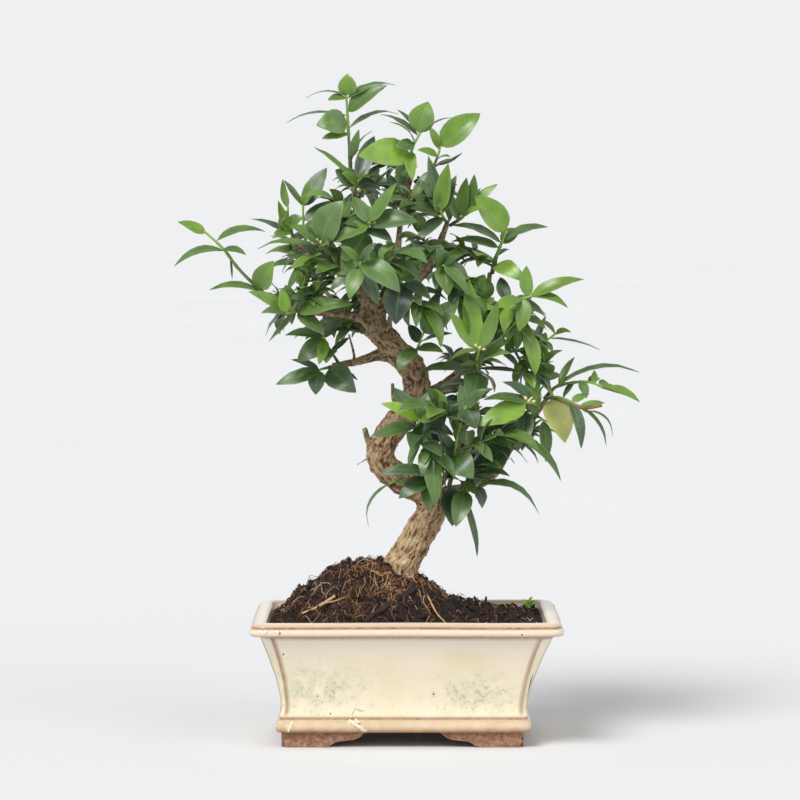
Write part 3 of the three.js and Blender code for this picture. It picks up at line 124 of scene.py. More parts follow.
# Young shoots: name, radius at the foot, stem, then the leaves: place along the stem, x, depth
# and z of the tip, width, arch, roll in degrees (0 faces up, 90 faces the front) and tone
# (0 dark and bluish, 1 young and yellowish, 1.3 a yellowing leaf)
SHOOTS = [
    ["top_tip", 1.2, [[-36, 0, 367], [-37, -1, 383], [-38, 0, 401], [-39, 0, 418]], [
        [1, -38, -2, 431, 11, 1, 80, 0.75], [0.98, -65, 6, 415, 7, 4, 10, 0.35],
        [0.95, -51, -6, 414, 6, 1, 40, 0.6], [0.93, -7, 8, 425, 9, 4, 22, 0.35],
        [0.76, -13, -6, 424, 11, 1, 60, 0.45], [0.72, -78, 10, 400, 8, 4, 10, 0.35],
        [0.64, -58, -8, 398, 15, 2, 75, 0.4], [0.5, -55, -4, 389, 7, 1, 40, 0.75],
        [0.56, -5, 6, 407, 8, 4, 18, 0.35], [0.2, -31, -8, 395, 6, 1, 70, 0.5],
        [0.12, -23, 2, 395, 4, 2, 20, 0.55]]],
    ["top_foot", 1.2, [[-34, 0, 352], [-33, -14, 357], [-31, -21, 362]], [
        [0.9, -59, -22, 385, 5, 1, 35, 0.5], [1, -21, -5, 392, 10, 1, 60, 0.15],
        [0.7, -46, -19, 369, 11, 1, 72, 0.38], [0.6, -17, -10, 358, 9, 2, 55, 0.12],
        [0.8, -42, -27, 367, 7, 1, 60, 0.6], [0.9, -26, -26, 370, 3, 0, 60, 0.7]]],
    ["crown_front", 1.3, [[4, -3, 367], [2, -34, 374], [4, -47, 383], [9, -51, 393]], [
        [0.55, -31, -63, 378, 17, 3, 72, 0.95], [1, 14, -49, 413, 15, 2, 80, 0.5],
        [0.98, -6, -41, 408, 4, 2, 15, 0.4], [0.92, -17, -36, 405, 6, 3, 15, 0.35],
        [0.95, 30, -56, 404, 5, 2, 25, 0.5], [0.8, -11, -58, 400, 3, 3, 30, 0.6],
        [0.75, -7, -54, 384, 8, 1, 60, 0.3], [0.6, 4, -58, 362, 7, 1, 60, 0.8],
        [0.7, -2, -53, 397, 5, 2, 30, 0.5], [0.5, -7, -46, 364, 8, 1, 55, 0.6]]],
    ["crown_right", 1.2, [[7, 4, 362], [15, -5, 367], [20, -11, 377], [22, -11, 384]], [
        [1, 47, -15, 406, 16, 2, 65, 0.85], [0.9, 15, -13, 397, 6, 1, 60, 0.6],
        [0.6, 28, -22, 378, 5, 1, 25, 0.45], [0.5, 36, -2, 381, 4, -2, 20, 0.3],
        [0.4, 2, -12, 349, 7, 1, 50, 0.55], [0.3, 30, -11, 377, 4, 1, 30, 0.5],
        [0.7, 7, -17, 382, 6, 1, 50, 0.85], [0.2, 20, -12, 353, 8, 1, 60, 0.4]]],
    ["upright_left", 1.2, [[26, -11, 335], [24, -24, 338], [22, -33, 342]], [
        [1, 27, -35, 373, 10, -2, 68, 0.75], [0.9, 10, -28, 363, 6, -1, 60, 0.45],
        [0.8, 14, -17, 378, 8, -1, 60, 0.33], [0.9, 32, -26, 366, 8, -1, 62, 0.25],
        [0.6, 19, -39, 357, 6, -1, 60, 0.95], [0.7, -2, -32, 346, 9, 2, 45, 0.3],
        [0.5, 6, -36, 322, 8, 2, 50, 0.35]]],
    ["upright_right", 1.2, [[30, -8, 334], [36, -13, 338], [41, -13, 343]], [
        [0.5, 39, -15, 364, 8, -1, 65, 0.4], [1, 44, -13, 366, 7, -1, 65, 0.75],
        [1, 59, -11, 360, 7, 1, 50, 0.85], [0.8, 48, -3, 358, 4, 1, 40, 0.3],
        [0.6, 50, -21, 344, 7, 2, 40, 0.8], [0.3, 25, -5, 356, 7, 0, 60, 0.4]]],
    ["right_shoulder", 1.5, [[56, 0, 304], [58, -5, 312], [61, -8, 320], [65, -11, 329]], [
        [1, 45, -15, 353, 15, 2, 75, 0.85], [0.75, 92, -4, 332, 9, 5, 27, 0.4],
        [0.7, 74, 4, 331, 9, 1, 60, 0.7], [0.72, 29, -16, 334, 9, 4, 35, 0.42],
        [0.6, 29, -8, 324, 8, 3, 40, 0.5], [0.35, 67, 9, 318, 3, 1, 30, 0.5],
        [0.25, 44, -7, 318, 3, 0, 60, 0.85], [0.2, 32, 5, 320, 7, 1, 55, 0.35],
        [0.12, 76, -22, 297, 11, 5, 52, 0.8], [0.1, 80, 10, 295, 10, 3, 45, 0.35]]],
    ["rosette", 1.3, [[46, 5, 233], [46, -24, 242], [47, -37, 253]], [
        [0.97, 28, -45, 277, 9, -1, 65, 0.75], [1, 41, -39, 298, 11, -1, 80, 0.85],
        [1, 59, -43, 284, 9, -1, 70, 0.7], [0.92, 74, -42, 275, 5, -3, 15, 0.85],
        [0.95, 29, -56, 247, 6, 2, 20, 0.6], [0.6, 35, -46, 242, 5, 1, 30, 0.5],
        [0.6, 67, -38, 251, 8, 2, 38, 0.7], [0.4, 76, -21, 238, 6, 1, 20, 0.3],
        [0.3, 42, -32, 214, 14, 3, 72, 0.32], [0.35, 8, -26, 240, 9, 3, 30, 0.3],
        [0.8, 68, -22, 259, 7, 1, 45, 0.5]]],
    ["centre_front", 1.2, [[4, -8, 248], [7, -29, 253], [11, -37, 263]], [
        [1, 20, -35, 290, 10, 1, 70, 0.38], [1, 33, -41, 285, 13, 2, 65, 0.3],
        [0.7, 1, -31, 269, 8, 1, 62, 0.1], [0.5, -6, -39, 238, 9, 3, 50, 0.5],
        [0.7, 30, -43, 263, 6, 2, 25, 0.4], [0.5, 24, -37, 251, 8, 2, 40, 0.35]]],
    ["centre_low", 1.2, [[2, -13, 211], [6, -33, 203], [9, -48, 206]], [
        [1, -16, -54, 218, 8, 2, 58, 1], [1, 27, -54, 212, 7, 1, 58, 1],
        [0.95, 18, -41, 227, 9, 0, 70, 0.45], [0.85, -8, -38, 228, 11, 1, 60, 0.35],
        [0.6, -23, -47, 195, 9, 2, 50, 0.55], [0.7, 34, -33, 218, 10, 2, 45, 0.15],
        [0.6, 31, -37, 197, 9, 2, 50, 0.15], [0.5, 15, -41, 188, 10, 2, 70, 0.32]]],
    ["bend_front", 1.3, [[12, -11, 160], [15, -33, 166], [17, -41, 174]], [
        [0.9, -17, -48, 173, 9, 3, 42, 0.35], [0.6, -5, -45, 156, 11, 3, 55, 0.4],
        [1, 12, -43, 197, 8, 1, 62, 0.45], [1, 26, -39, 194, 8, 1, 60, 0.3],
        [0.4, 14, -39, 147, 9, 3, 60, 0.35], [0.3, -7, -31, 165, 7, 2, 30, 0.3]]],
    ["bend_left", 0.9, [[-3, -8, 169], [-7, -20, 167], [-11, -24, 165]], [
        [1, -26, -26, 137, 5, 6, 15, 0.4]]],
    ["under_right", 1.3, [[30, -3, 161], [37, -25, 161], [46, -36, 164]], [
        [0.2, 30, -30, 138, 15, 3, 70, 0.13], [0.55, 32, -42, 137, 12, 2, 65, 0.3],
        [0.9, 50, -30, 149, 9, 2, 55, 0.08], [0.5, 22, -43, 162, 6, 1, 12, 0.5],
        [0.4, 47, -17, 117, 5, 5, 55, 0.3], [1, 87, -41, 145, 8, 11, 28, 0.35]]],
    ["riser", 1.6, [[28, -5, 164], [30, -32, 174], [33, -41, 194], [39, -41, 216]], [
        [0.5, 43, -53, 169, 17, 4, 80, 0.3], [0.98, 45, -49, 201, 11, 2, 60, 0.3],
        [0.9, 35, -37, 230, 7, 0, 68, 0.2], [0.75, 30, -29, 207, 6, 1, 45, 0.5],
        [0.45, 20, -40, 201, 9, 1, 60, 0.25], [0.4, 56, -45, 198, 6, 1, 32, 0.85],
        [1, 53, -47, 227, 8, 1, 55, 0.35], [0.2, 22, -36, 179, 8, 2, 60, 0.3]]],
    ["right_under", 1.1, [[67, -9, 190], [66, -18, 193], [68, -24, 196]], [
        [0.6, 44, -35, 165, 16, 4, 70, 0.25], [0.8, 87, -25, 179, 4, 3, 15, 0.4],
        [1, 101, -32, 167, 8, 8, 28, 0.45], [0.5, 58, -28, 200, 7, 1, 40, 0.5]]],
    ["right_droop", 1.1, [[83, -13, 210], [87, -22, 208], [90, -26, 206]], [
        [0.8, 91, -26, 179, 8, 2, 60, 0.2], [0.4, 65, -31, 192, 6, 3, 27, 0.5],
        [1, 104, -28, 192, 6, 3, 35, 0.3], [0.2, 74, -20, 194, 6, 2, 30, 0.4]]],
    ["right_hub", 1.2, [[92, -15, 221], [100, -26, 221], [109, -31, 217], [117, -35, 212]], [
        [1, 135, -37, 197, 4, 5, 15, 0.4], [0.75, 131, -42, 190, 4, 5, 15, 0.4],
        [0.55, 114, -40, 188, 7, 5, 42, 0.35], [0.1, 103, -41, 192, 17, 2, 82, 1.3],
        [0.6, 119, -25, 224, 6, 1, 40, 0.6], [0.8, 129, -32, 218, 5, 1, 35, 0.6]]],
    ["right_tip", 1.2, [[91, -8, 222], [97, -8, 228], [109, -7, 231], [120, -7, 231], [129, -8, 227]], [
        [0.08, 152, -6, 240, 6, 8, 22, 0.5], [0.1, 73, -14, 246, 8, 5, 45, 0.3],
        [0.3, 109, 0, 248, 5, 1, 32, 0.5], [0.8, 122, -8, 239, 4, 0, 60, 0.7],
        [0.9, 131, -2, 231, 6, 1, 40, 0.6], [1, 152, -12, 218, 7, 3, 42, 0.75],
        [0.95, 137, -18, 225, 5, 2, 35, 0.6], [0.6, 117, -14, 221, 6, 1, 45, 0.5],
        [0.7, 126, 4, 234, 5, 1, 40, 0.5], [0.5, 101, -4, 220, 6, 1, 40, 0.4]]],
    ["right_hub_left", 1.2, [[87, -11, 214], [83, -27, 217], [78, -36, 218]], [
        [0.6, 63, -32, 232, 9, 3, 45, 0.2], [0.9, 50, -47, 220, 8, 2, 40, 0.18],
        [1, 46, -46, 203, 14, 2, 65, 0.85], [0.5, 63, -35, 223, 7, 1, 45, 0.8],
        [0.3, 90, -30, 230, 7, 1, 40, 0.4]]],
    ["right_high", 1.3, [[53, 5, 281], [64, -13, 283], [74, -24, 285], [81, -28, 287]], [
        [1, 115, -28, 299, 9, 4, 50, 0.75], [0.97, 97, -18, 288, 6, 1, 40, 0.3],
        [0.95, 105, -36, 280, 7, 3, 36, 0.65], [0.9, 78, -25, 307, 8, 0, 60, 0.7],
        [0.7, 56, -38, 279, 8, 2, 40, 0.7], [0.5, 63, -32, 264, 9, 1, 65, 0.88],
        [0.8, 73, -33, 264, 9, 1, 65, 0.8], [0.4, 61, -4, 300, 8, 1, 60, 0.3],
        [0.6, 91, -19, 273, 8, 2, 40, 0.4]]],
    ["right_mid", 1.2, [[51, 12, 251], [64, 0, 251], [79, -8, 253], [92, -11, 259], [97, -11, 263]], [
        [1, 107, -13, 264, 5, 1, 42, 0.7], [0.98, 85, -5, 271, 4, 3, 28, 0.55],
        [0.8, 126, -7, 253, 5, 1, 12, 0.4], [0.7, 95, -18, 251, 5, 1, 20, 0.35],
        [0.55, 90, 2, 275, 5, 0, 32, 0.22], [0.4, 87, -13, 242, 6, 2, 35, 0.35],
        [0.25, 76, 2, 265, 7, 1, 50, 0.6], [0.2, 74, 1, 238, 6, 2, 35, 0.3],
        [0.5, 74, -18, 263, 7, 1, 50, 0.75]]],
    ["far_left_tip", 1.3, [[-89, -26, 285], [-109, -30, 305], [-119, -32, 318], [-131, -34, 329]], [
        [1, -148, -36, 336, 8, 1, 50, 0.8], [0.8, -91, -26, 329, 8, 4, 30, 0.42],
        [0.62, -151, -38, 306, 8, 6, 32, 0.5], [0.66, -104, -40, 314, 6, 1, 38, 0.45],
        [0.5, -113, -30, 298, 3, 0, 45, 0.6], [0.05, -128, -29, 292, 7, 4, 28, 0.45],
        [0.12, -86, -39, 310, 13, 2, 75, 0.6]]],
    ["left_up_a", 1, [[-72, -18, 322], [-76, -21, 333], [-77, -21, 345]], [
        [1, -80, -21, 363, 5, -1, 65, 0.7], [0.9, -83, -25, 332, 4, 1, 40, 0.3],
        [0.2, -83, -29, 349, 6, -2, 70, 0.92], [0.2, -101, -15, 338, 6, 1, 32, 0.25],
        [0.5, -67, -27, 338, 9, 1, 60, 0.4], [0.3, -87, -27, 325, 7, 1, 45, 0.5]]],
    ["left_up_b", 1, [[-63, -18, 314], [-66, -11, 326], [-67, -8, 338], [-67, -8, 346]], [
        [1, -63, -12, 362, 6, 0, 62, 0.7], [0.97, -79, -4, 363, 5, -1, 30, 0.45],
        [0.95, -52, -2, 371, 11, -1, 65, 0.3], [0.6, -44, 2, 350, 9, 1, 55, 0.28],
        [0.5, -55, -14, 331, 8, 1, 60, 0.4], [0.3, -77, -1, 323, 7, 1, 40, 0.35]]],
    ["left_front", 1.1, [[-57, -24, 312], [-57, -41, 317], [-55, -51, 322]], [
        [1, -41, -56, 349, 18, 3, 72, 0.3], [0.9, -76, -53, 333, 9, 1, 55, 0.42],
        [0.6, -97, -38, 320, 7, 3, 32, 0.5], [0.5, -82, -41, 304, 5, 3, 22, 0.35],
        [0.7, -50, -61, 321, 6, 1, 40, 0.6], [0.3, -79, -41, 289, 7, 2, 45, 0.45]]],
    ["fork_high", 1.2, [[-29, -5, 325], [-26, -37, 330], [-24, -55, 335]], [
        [0.9, -46, -59, 322, 10, 2, 55, 0.45], [1, -7, -55, 361, 9, 0, 55, 0.6],
        [0.8, 7, -55, 336, 13, 3, 55, 0.18], [0.5, -42, -53, 301, 16, 3, 72, 0.45],
        [0.95, -35, -48, 352, 9, 1, 62, 0.5], [0.6, -9, -55, 322, 9, 3, 50, 0.3],
        [0.7, -40, -57, 335, 9, 2, 50, 0.35]]],
    ["fork_front", 1.2, [[-27, -5, 295], [-30, -50, 303], [-30, -76, 309]], [
        [0.95, -4, -82, 290, 14, 3, 62, 0.5], [0.7, -37, -70, 285, 10, 2, 65, 0.35],
        [0.5, -18, -58, 281, 9, 2, 60, 0.28], [1, -20, -82, 322, 7, 1, 50, 0.4],
        [0.6, -50, -63, 291, 8, 2, 50, 0.4], [1, -43, -82, 320, 7, 1, 45, 0.55]]],
    ["fork_right", 1.1, [[-2, -9, 293], [-3, -35, 295], [-3, -47, 297]], [
        [1, 9, -49, 310, 12, 1, 65, 0.42], [0.7, -7, -50, 269, 17, 2, 75, 0.05],
        [1, -9, -53, 314, 8, 1, 60, 0.4], [0.6, 16, -51, 285, 8, 2, 45, 0.25]]],
    ["inner_right", 1.1, [[19, -11, 309], [22, -36, 307], [24, -46, 307]], [
        [0.5, 27, -48, 288, 11, 2, 76, 0.65], [1, 40, -50, 288, 8, 2, 50, 0.42],
        [1, 40, -42, 301, 8, 1, 55, 0.42], [0.6, 20, -49, 318, 11, 2, 55, 0.45],
        [0.4, 18, -23, 323, 9, 3, 45, 0.35], [0.8, 36, -47, 314, 6, 1, 45, 0.3]]],
    ["left_mid", 1.2, [[-67, -29, 279], [-72, -41, 277], [-78, -49, 276]], [
        [0.5, -35, -57, 283, 11, 3, 55, 0.55], [1, -81, -53, 292, 8, 0, 62, 0.9],
        [0.9, -65, -48, 309, 5, -5, 32, 0.5], [0.6, -90, -44, 258, 6, -2, 32, 0.3],
        [0.8, -102, -51, 291, 8, 1, 52, 0.6], [0.4, -53, -48, 262, 9, 2, 55, 0.35],
        [0.3, -57, -41, 296, 9, 1, 58, 0.35], [1, -94, -55, 277, 7, 2, 40, 0.5]]],
    ["low_left_a", 1.2, [[-49, -3, 241], [-54, -9, 240], [-57, -13, 239]], [
        [1, -85, -17, 230, 10, 2, 52, 0.35], [1, -59, -19, 223, 10, 1, 65, 0.3],
        [0.95, -75, -7, 246, 6, 1, 32, 0.25], [0.1, -33, -23, 225, 16, 3, 78, 0.35],
        [0.05, -31, 1, 233, 5, 1, 40, 0.12], [0.8, -73, -25, 237, 5, 1, 30, 0.3]]],
    ["low_left_b", 1.1, [[-45, -5, 245], [-50, -20, 253], [-54, -24, 261]], [
        [0.9, -71, -32, 245, 12, 2, 70, 0.35], [0.9, -57, -34, 243, 7, 1, 75, 0.78],
        [0.5, -52, -32, 244, 10, 2, 75, 0.4], [1, -79, -28, 262, 8, 2, 45, 0.3],
        [1, -40, -32, 272, 8, 1, 55, 0.3], [0.4, -37, -12, 261, 4, 0, 50, 0.15]]],
]

# Shoots of the far side, which grow by rule: name, limb, place along it, direction, length,
# number of leaves, length of the longest leaf, turn of the first leaf in degrees
REAR_SHOOTS = [
    ["rear_crown", "back_upper", 1, [0.1, 0.35, 0.95], 34, 10, 27, 0],
    ["rear_crown_low", "back_upper", 0.62, [0.75, 0.55, 0.35], 30, 9, 27, 40],
    ["rear_shoulder", "back_upper", 0.4, [-0.8, 0.5, 0.4], 28, 8, 26, 80],
    ["rear_left", "back_left", 1, [-0.6, 0.35, 0.65], 34, 10, 27, 20],
    ["rear_left_low", "back_left", 0.66, [-0.35, 0.85, -0.05], 26, 9, 26, 60],
    ["rear_left_inner", "back_left", 0.4, [-0.9, 0.3, 0.1], 26, 8, 26, 10],
    ["rear_right", "back_right", 1, [0.55, 0.4, 0.6], 32, 10, 27, 30],
    ["rear_right_low", "back_right", 0.64, [0.3, 0.8, -0.15], 26, 9, 26, 70],
    ["rear_low", "back_low", 1, [0.25, 0.45, 0.75], 28, 9, 26, 50],
    ["rear_low_front", "back_low", 0.7, [0.8, 0.35, 0.15], 24, 8, 25, 15],
    ["rear_leader", "leader", 0.3, [-0.3, 0.9, 0.3], 32, 9, 27, 25],
    ["rear_top", "leader", 0.82, [0.35, 0.85, 0.35], 28, 9, 26, 65],
    ["rear_upper_right", "upper_right", 0.6, [0.35, 0.9, 0.15], 32, 9, 27, 5],
    ["rear_upper_left", "upper_left", 0.62, [-0.2, 0.9, 0.15], 30, 9, 27, 45],
    ["rear_far_left", "far_left", 0.72, [-0.35, 0.9, 0.05], 30, 8, 26, 75],
    ["rear_middle_right", "middle_right", 0.62, [0.35, 0.9, 0.1], 30, 9, 27, 38],
    ["rear_lower_right", "lower_right", 0.66, [0.15, 0.9, 0.2], 30, 9, 27, 55],
]

# Side twigs, which fork from a shoot: its name, place along its stem, direction, length, number
# of leaves, length of the longest leaf, turn of the first leaf in degrees, tone
SIDE_TWIGS = [
    ["crown_front", 0.15, [-0.7, 0.2, 0.1], 22, 7, 24, 10, 0.35],
    ["crown_right", 0.1, [0.5, 0.3, -0.35], 24, 7, 22, 40, 0.6],
    ["upright_left", 0.2, [-0.85, -0.15, 0.35], 26, 8, 24, 0, 0.4],
    ["inner_right", 0.3, [-0.5, -0.3, 0.75], 26, 8, 24, 60, 0.4],
    ["right_shoulder", 0.1, [-0.7, -0.2, 0.3], 26, 8, 24, 30, 0.5],
    ["right_high", 0.15, [-0.6, -0.5, 0.4], 24, 8, 26, 75, 0.65],
    ["inner_right", 0.4, [0.4, -0.3, -0.7], 28, 8, 26, 10, 0.35],
    ["right_mid", 0.2, [-0.1, -0.55, 0.75], 28, 9, 28, 25, 0.7],
    ["right_high", 0.4, [0.5, -0.2, -0.7], 26, 8, 26, 50, 0.6],
    ["right_mid", 0.45, [0.4, -0.3, -0.75], 24, 8, 24, 60, 0.6],
    ["right_tip", 0.1, [-0.2, 0.2, 0.85], 26, 8, 24, 0, 0.6],
    ["rosette", 0.1, [-0.55, -0.3, -0.6], 30, 9, 28, 35, 0.3],
    ["riser", 0.85, [-0.6, -0.4, 0.3], 26, 8, 28, 15, 0.3],
    ["riser", 0.6, [0.75, -0.2, 0.2], 32, 9, 30, 45, 0.2],
    ["right_hub_left", 0.3, [-0.75, -0.2, -0.4], 28, 8, 28, 70, 0.3],
    ["under_right", 0.4, [0.4, -0.6, 0.5], 24, 8, 28, 20, 0.2],
    ["centre_low", 0.6, [0.3, -0.4, -0.75], 26, 8, 28, 30, 0.25],
    ["left_mid", 0.2, [0.5, -0.5, 0.55], 26, 8, 25, 10, 0.45],
    ["left_mid", 0.6, [0.3, -0.2, 0.85], 26, 8, 24, 60, 0.5],
    ["left_front", 0.3, [0.6, -0.2, 0.65], 28, 8, 26, 25, 0.4],
    ["fork_high", 0.3, [-0.6, -0.2, 0.6], 26, 8, 25, 55, 0.35],
    ["fork_front", 0.4, [-0.75, -0.3, 0.25], 26, 8, 26, 15, 0.4],
    ["fork_front", 0.6, [0.75, -0.3, 0.25], 26, 8, 26, 65, 0.3],
    ["fork_right", 0.5, [0.45, -0.5, -0.6], 24, 8, 26, 0, 0.3],
]
LAST_LEAF = 0.97
FIRST_LEAF = 0.25
SPREAD = (65.0, 25.0)  # degrees between a leaf and its stem, at the foot and at the tip
DROOP, BREADTH, ARCH, STEM_RISE = 0.25, 0.42, 0.12, 0.12
REAR_FOOT_RADIUS, TWIG_FOOT_RADIUS, SHOOT_TIP = 1.2, 0.9, 0.6
YOUNG_TWIG = (6, 19)  # leaves of a far side's side twig, and the length of its longest
YOUNG_LEAVES = 0.62  # small leaves beside each ruled leaf, as a share of its length

# Clusters of flower buds: shoot, place along its stem, number of buds
BUDS = [
    ["top_foot", 0.35, 5], ["fork_high", 0.9, 9], ["crown_front", 0.3, 6],
    ["inner_right", 0.5, 7], ["centre_low", 0.9, 8], ["bend_front", 0.97, 7],
    ["right_hub_left", 0.9, 6], ["rosette", 0.97, 6], ["left_front", 0.9, 6],
    ["rear_crown", 0.5, 7], ["rear_right", 0.4, 6], ["rear_left", 0.5, 6],
]
BUD_RADIUS, BUD_STRETCH = 1.15, 1.35

# A pruned twig beside the right-hand leaves: its line and radii
CUT_TWIG = [[108, -31, 216.5], [116, -34, 214.5], [127, -36, 216]]
CUT_TWIG_RADII = (1.35, 1.0)

WALK_STEPS = 241  # points of the fine walk that measures a curve
FULL_TURN = 6.28  # radians
GOLDEN_ANGLE = math.radians(137.5)  # between one leaf or bud and the next

rng = np.random.default_rng(11)


# Arrays and meshes


def place(points):
    """Points written as seen against the middle plane are drawn along the line of sight:
    each is the eye plus (point - eye) times its distance over the middle plane's distance."""
    points = np.array(points, float)
    reach = (points[..., 1:2] - EYE[1]) / -EYE[1]
    placed = EYE + (points - EYE) * reach
    placed[..., 1] = points[..., 1]
    return placed


def unit(v):
    """Vectors divided by their lengths."""
    return v / np.maximum(np.linalg.norm(v, axis=-1, keepdims=True), 1e-9)


def curve_at(points, t):
    """Places on a centripetal Catmull-Rom curve through the points, at shares t of its spans:
    between two points a cubic whose end slopes follow from the neighbours' distances."""
    points = np.asarray(points, float)
    line = np.vstack([2 * points[0] - points[1], points, 2 * points[-1] - points[-2]])
    x = np.clip(np.asarray(t, float), 0, 1) * (len(points) - 1)
    i = np.minimum(x.astype(int), len(points) - 2)
    f = (x - i)[..., None]
    a, b, c, d = (line[i + k] for k in range(4))
    gap = [np.sqrt(np.linalg.norm(q - p, axis=-1, keepdims=True)) for p, q in ((a, b), (b, c), (c, d))]
    slope_b = ((b - a) / gap[0] - (c - a) / (gap[0] + gap[1]) + (c - b) / gap[1]) * gap[1]
    slope_c = ((c - b) / gap[1] - (d - b) / (gap[1] + gap[2]) + (d - c) / gap[2]) * gap[1]
    square = -3 * b + 3 * c - 2 * slope_b - slope_c
    cube = 2 * b - 2 * c + slope_b + slope_c
    return b + slope_b * f + square * f**2 + cube * f**3


def distances(line):
    """How far along a line each of its points lies."""
    return np.concatenate([[0], np.cumsum(np.linalg.norm(np.diff(line, axis=0), axis=1))])


def even_places(points, t):
    """Places at shares t of the curve's length, from a fine walk along it."""
    fine = curve_at(points, np.linspace(0, 1, WALK_STEPS))
    walked = distances(fine)
    return np.stack([np.interp(np.asarray(t) * walked[-1], walked, fine[:, k]) for k in range(3)], -1)


def frames_along(line):
    """Tangent, normal and binormal at each point of a line: each normal is the last one made
    perpendicular to the next tangent, so the frame doesn't spin."""
    tangent = unit(np.gradient(line, axis=0))
    normal = np.zeros_like(line)
    first = np.array([1.0, 0, 0]) if abs(tangent[0, 0]) < 0.8 else np.array([0, 1.0, 0])
    last = first
    for k, way in enumerate(tangent):
        last = unit(last - way * (last @ way))
        normal[k] = last
    return tangent, normal, np.cross(tangent, normal)


def tube(line, radii, sides, values=None):
    """A closed round tube: circles of the given radii in the line's frames, with end caps.
    Its attributes are given per point of the line."""
    line = np.asarray(line, float)
    _, normal, binormal = frames_along(line)
    angle = np.arange(sides) * 2 * math.pi / sides
    radii = np.broadcast_to(np.asarray(radii, float), len(line))
    cos, sin = np.cos(angle)[None, :, None], np.sin(angle)[None, :, None]
    ring = normal[:, None] * cos + binormal[:, None] * sin
    points = (line[:, None] + ring * radii[:, None, None]).reshape(-1, 3)
    faces = grid_faces(len(line), sides, True)
    caps = [list(range(sides))[::-1], [(len(line) - 1) * sides + k for k in range(sides)]]
    attributes = {k: np.repeat(np.broadcast_to(v, len(line)), sides) for k, v in (values or {}).items()}
    return {"points": points, "faces": faces.tolist() + caps, "values": attributes}


def grid_faces(rows, columns, closed):
    """Quads between neighbouring rows of a grid; a closed grid joins its last column to its
    first."""
    i, j = np.meshgrid(np.arange(rows - 1), np.arange(columns if closed else columns - 1), indexing="ij")
    after = (j + 1) % columns
    row, following = i * columns, (i + 1) * columns
    quads = np.stack([row + j, row + after, following + after, following + j], -1)
    return quads.reshape(-1, 4)


def joined(parts):
    """Several parts as one: their points follow each other and their faces are renumbered."""
    faces, materials, start = [], [], 0
    for part in parts:
        faces += [[v + start for v in face] for face in part["faces"]]
        materials += [part.get("material", 0)] * len(part["faces"])
        start += len(part["points"])
    names = sorted({name for part in parts for name in part["values"]})
    values = {}
    for name in names:
        width = next(np.asarray(p["values"][name]).shape[1:] for p in parts if name in p["values"])
        rows = [p["values"].get(name, np.zeros((len(p["points"]), *width))) for p in parts]
        values[name] = np.concatenate(rows).astype(float)
    points = np.concatenate([p["points"] for p in parts])
    return {"points": points, "faces": faces, "values": values, "materials": materials}


def mesh_from(name, part):
    """A mesh in metres from a part in millimetres, with its attributes on the points."""
    mesh = bpy.data.meshes.new(name)
    mesh.from_pydata((part["points"] * MM).tolist(), [], part["faces"])
    for key, value in part["values"].items():
        value = np.asarray(value, np.float32)
        kind = "FLOAT_VECTOR" if value.ndim == 2 else "FLOAT"
        layer = mesh.attributes.new(key, kind, "POINT")
        layer.data.foreach_set("vector" if value.ndim == 2 else "value", value.ravel())
    if "materials" in part:
        mesh.polygons.foreach_set("material_index", part["materials"])
    mesh.polygons.foreach_set("use_smooth", [True] * len(mesh.polygons))
    mesh.update()
    return mesh


def shown(name, data):
    """An object at the origin of the scene, with a mesh, a lamp or a camera in it."""
    made = bpy.data.objects.new(name, data)
    bpy.context.scene.collection.objects.link(made)
    return made


def piece(name, mesh, materials, nodes=()):
    """A finished object that rides on the tree's one body, in place of its nodes."""
    made = shown(name, mesh)
    for material in materials:
        mesh.materials.append(material)
    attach(made, "root")
    if nodes:
        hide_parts(*nodes)
    return made


def evaluated_mesh(made):
    """An object's mesh with its modifiers worked out."""
    evaluated = made.evaluated_get(bpy.context.evaluated_depsgraph_get())
    return bpy.data.meshes.new_from_object(evaluated)


def turn_outward(mesh):
    """Turns every face of closed shells outward."""
    shell = bmesh.new()
    shell.from_mesh(mesh)
    bmesh.ops.recalc_face_normals(shell, faces=shell.faces)
    shell.to_mesh(mesh)
    shell.free()


def lattice(cells, seed):
    """A number from 0 to 1 for each cell of a lattice, by mixing the bits of its indices."""
    mixed = cells[..., 0] * 374761393 + cells[..., 1] * 668265263 + cells[..., 2] * 2147483647
    mixed = (mixed + seed * 1274126177) & 0xFFFFFFFF
    mixed = ((mixed ^ (mixed >> 13)) * 1274126177) & 0xFFFFFFFF
    return ((mixed ^ (mixed >> 16)) & 0xFFFF) / 65535.0


def noise(points, size, seed=0):
    """Smooth noise from 0 to 1 with lumps of a size in millimetres: the lattice's values
    blended by a cubic step in each direction."""
    scaled = np.asarray(points, float) / size
    low = np.floor(scaled).astype(np.int64)
    f = scaled - low
    f = f * f * (3 - 2 * f)
    total = np.zeros(low.shape[:-1])
    for dx in (0, 1):
        for dy in (0, 1):
            for dz in (0, 1):
                step = np.array([dx, dy, dz])
                weight = np.prod(np.where(step, f, 1 - f), axis=-1)
                total += weight * lattice(low + step, seed)
    return total


def smooth_step(x, low, high):
    """0 below low, 1 above high, and a cubic step between."""
    t = np.clip((np.asarray(x, float) - low) / (high - low), 0, 1)
    return t * t * (3 - 2 * t)


# Materials


def linear(code):
    """An sRGB hex colour as linear red, green, blue and alpha."""
    parts = [int(code[i : i + 2], 16) / 255 for i in (1, 3, 5)]
    return [*(v / 12.92 if v <= 0.04045 else ((v + 0.055) / 1.055) ** 2.4 for v in parts), 1.0]


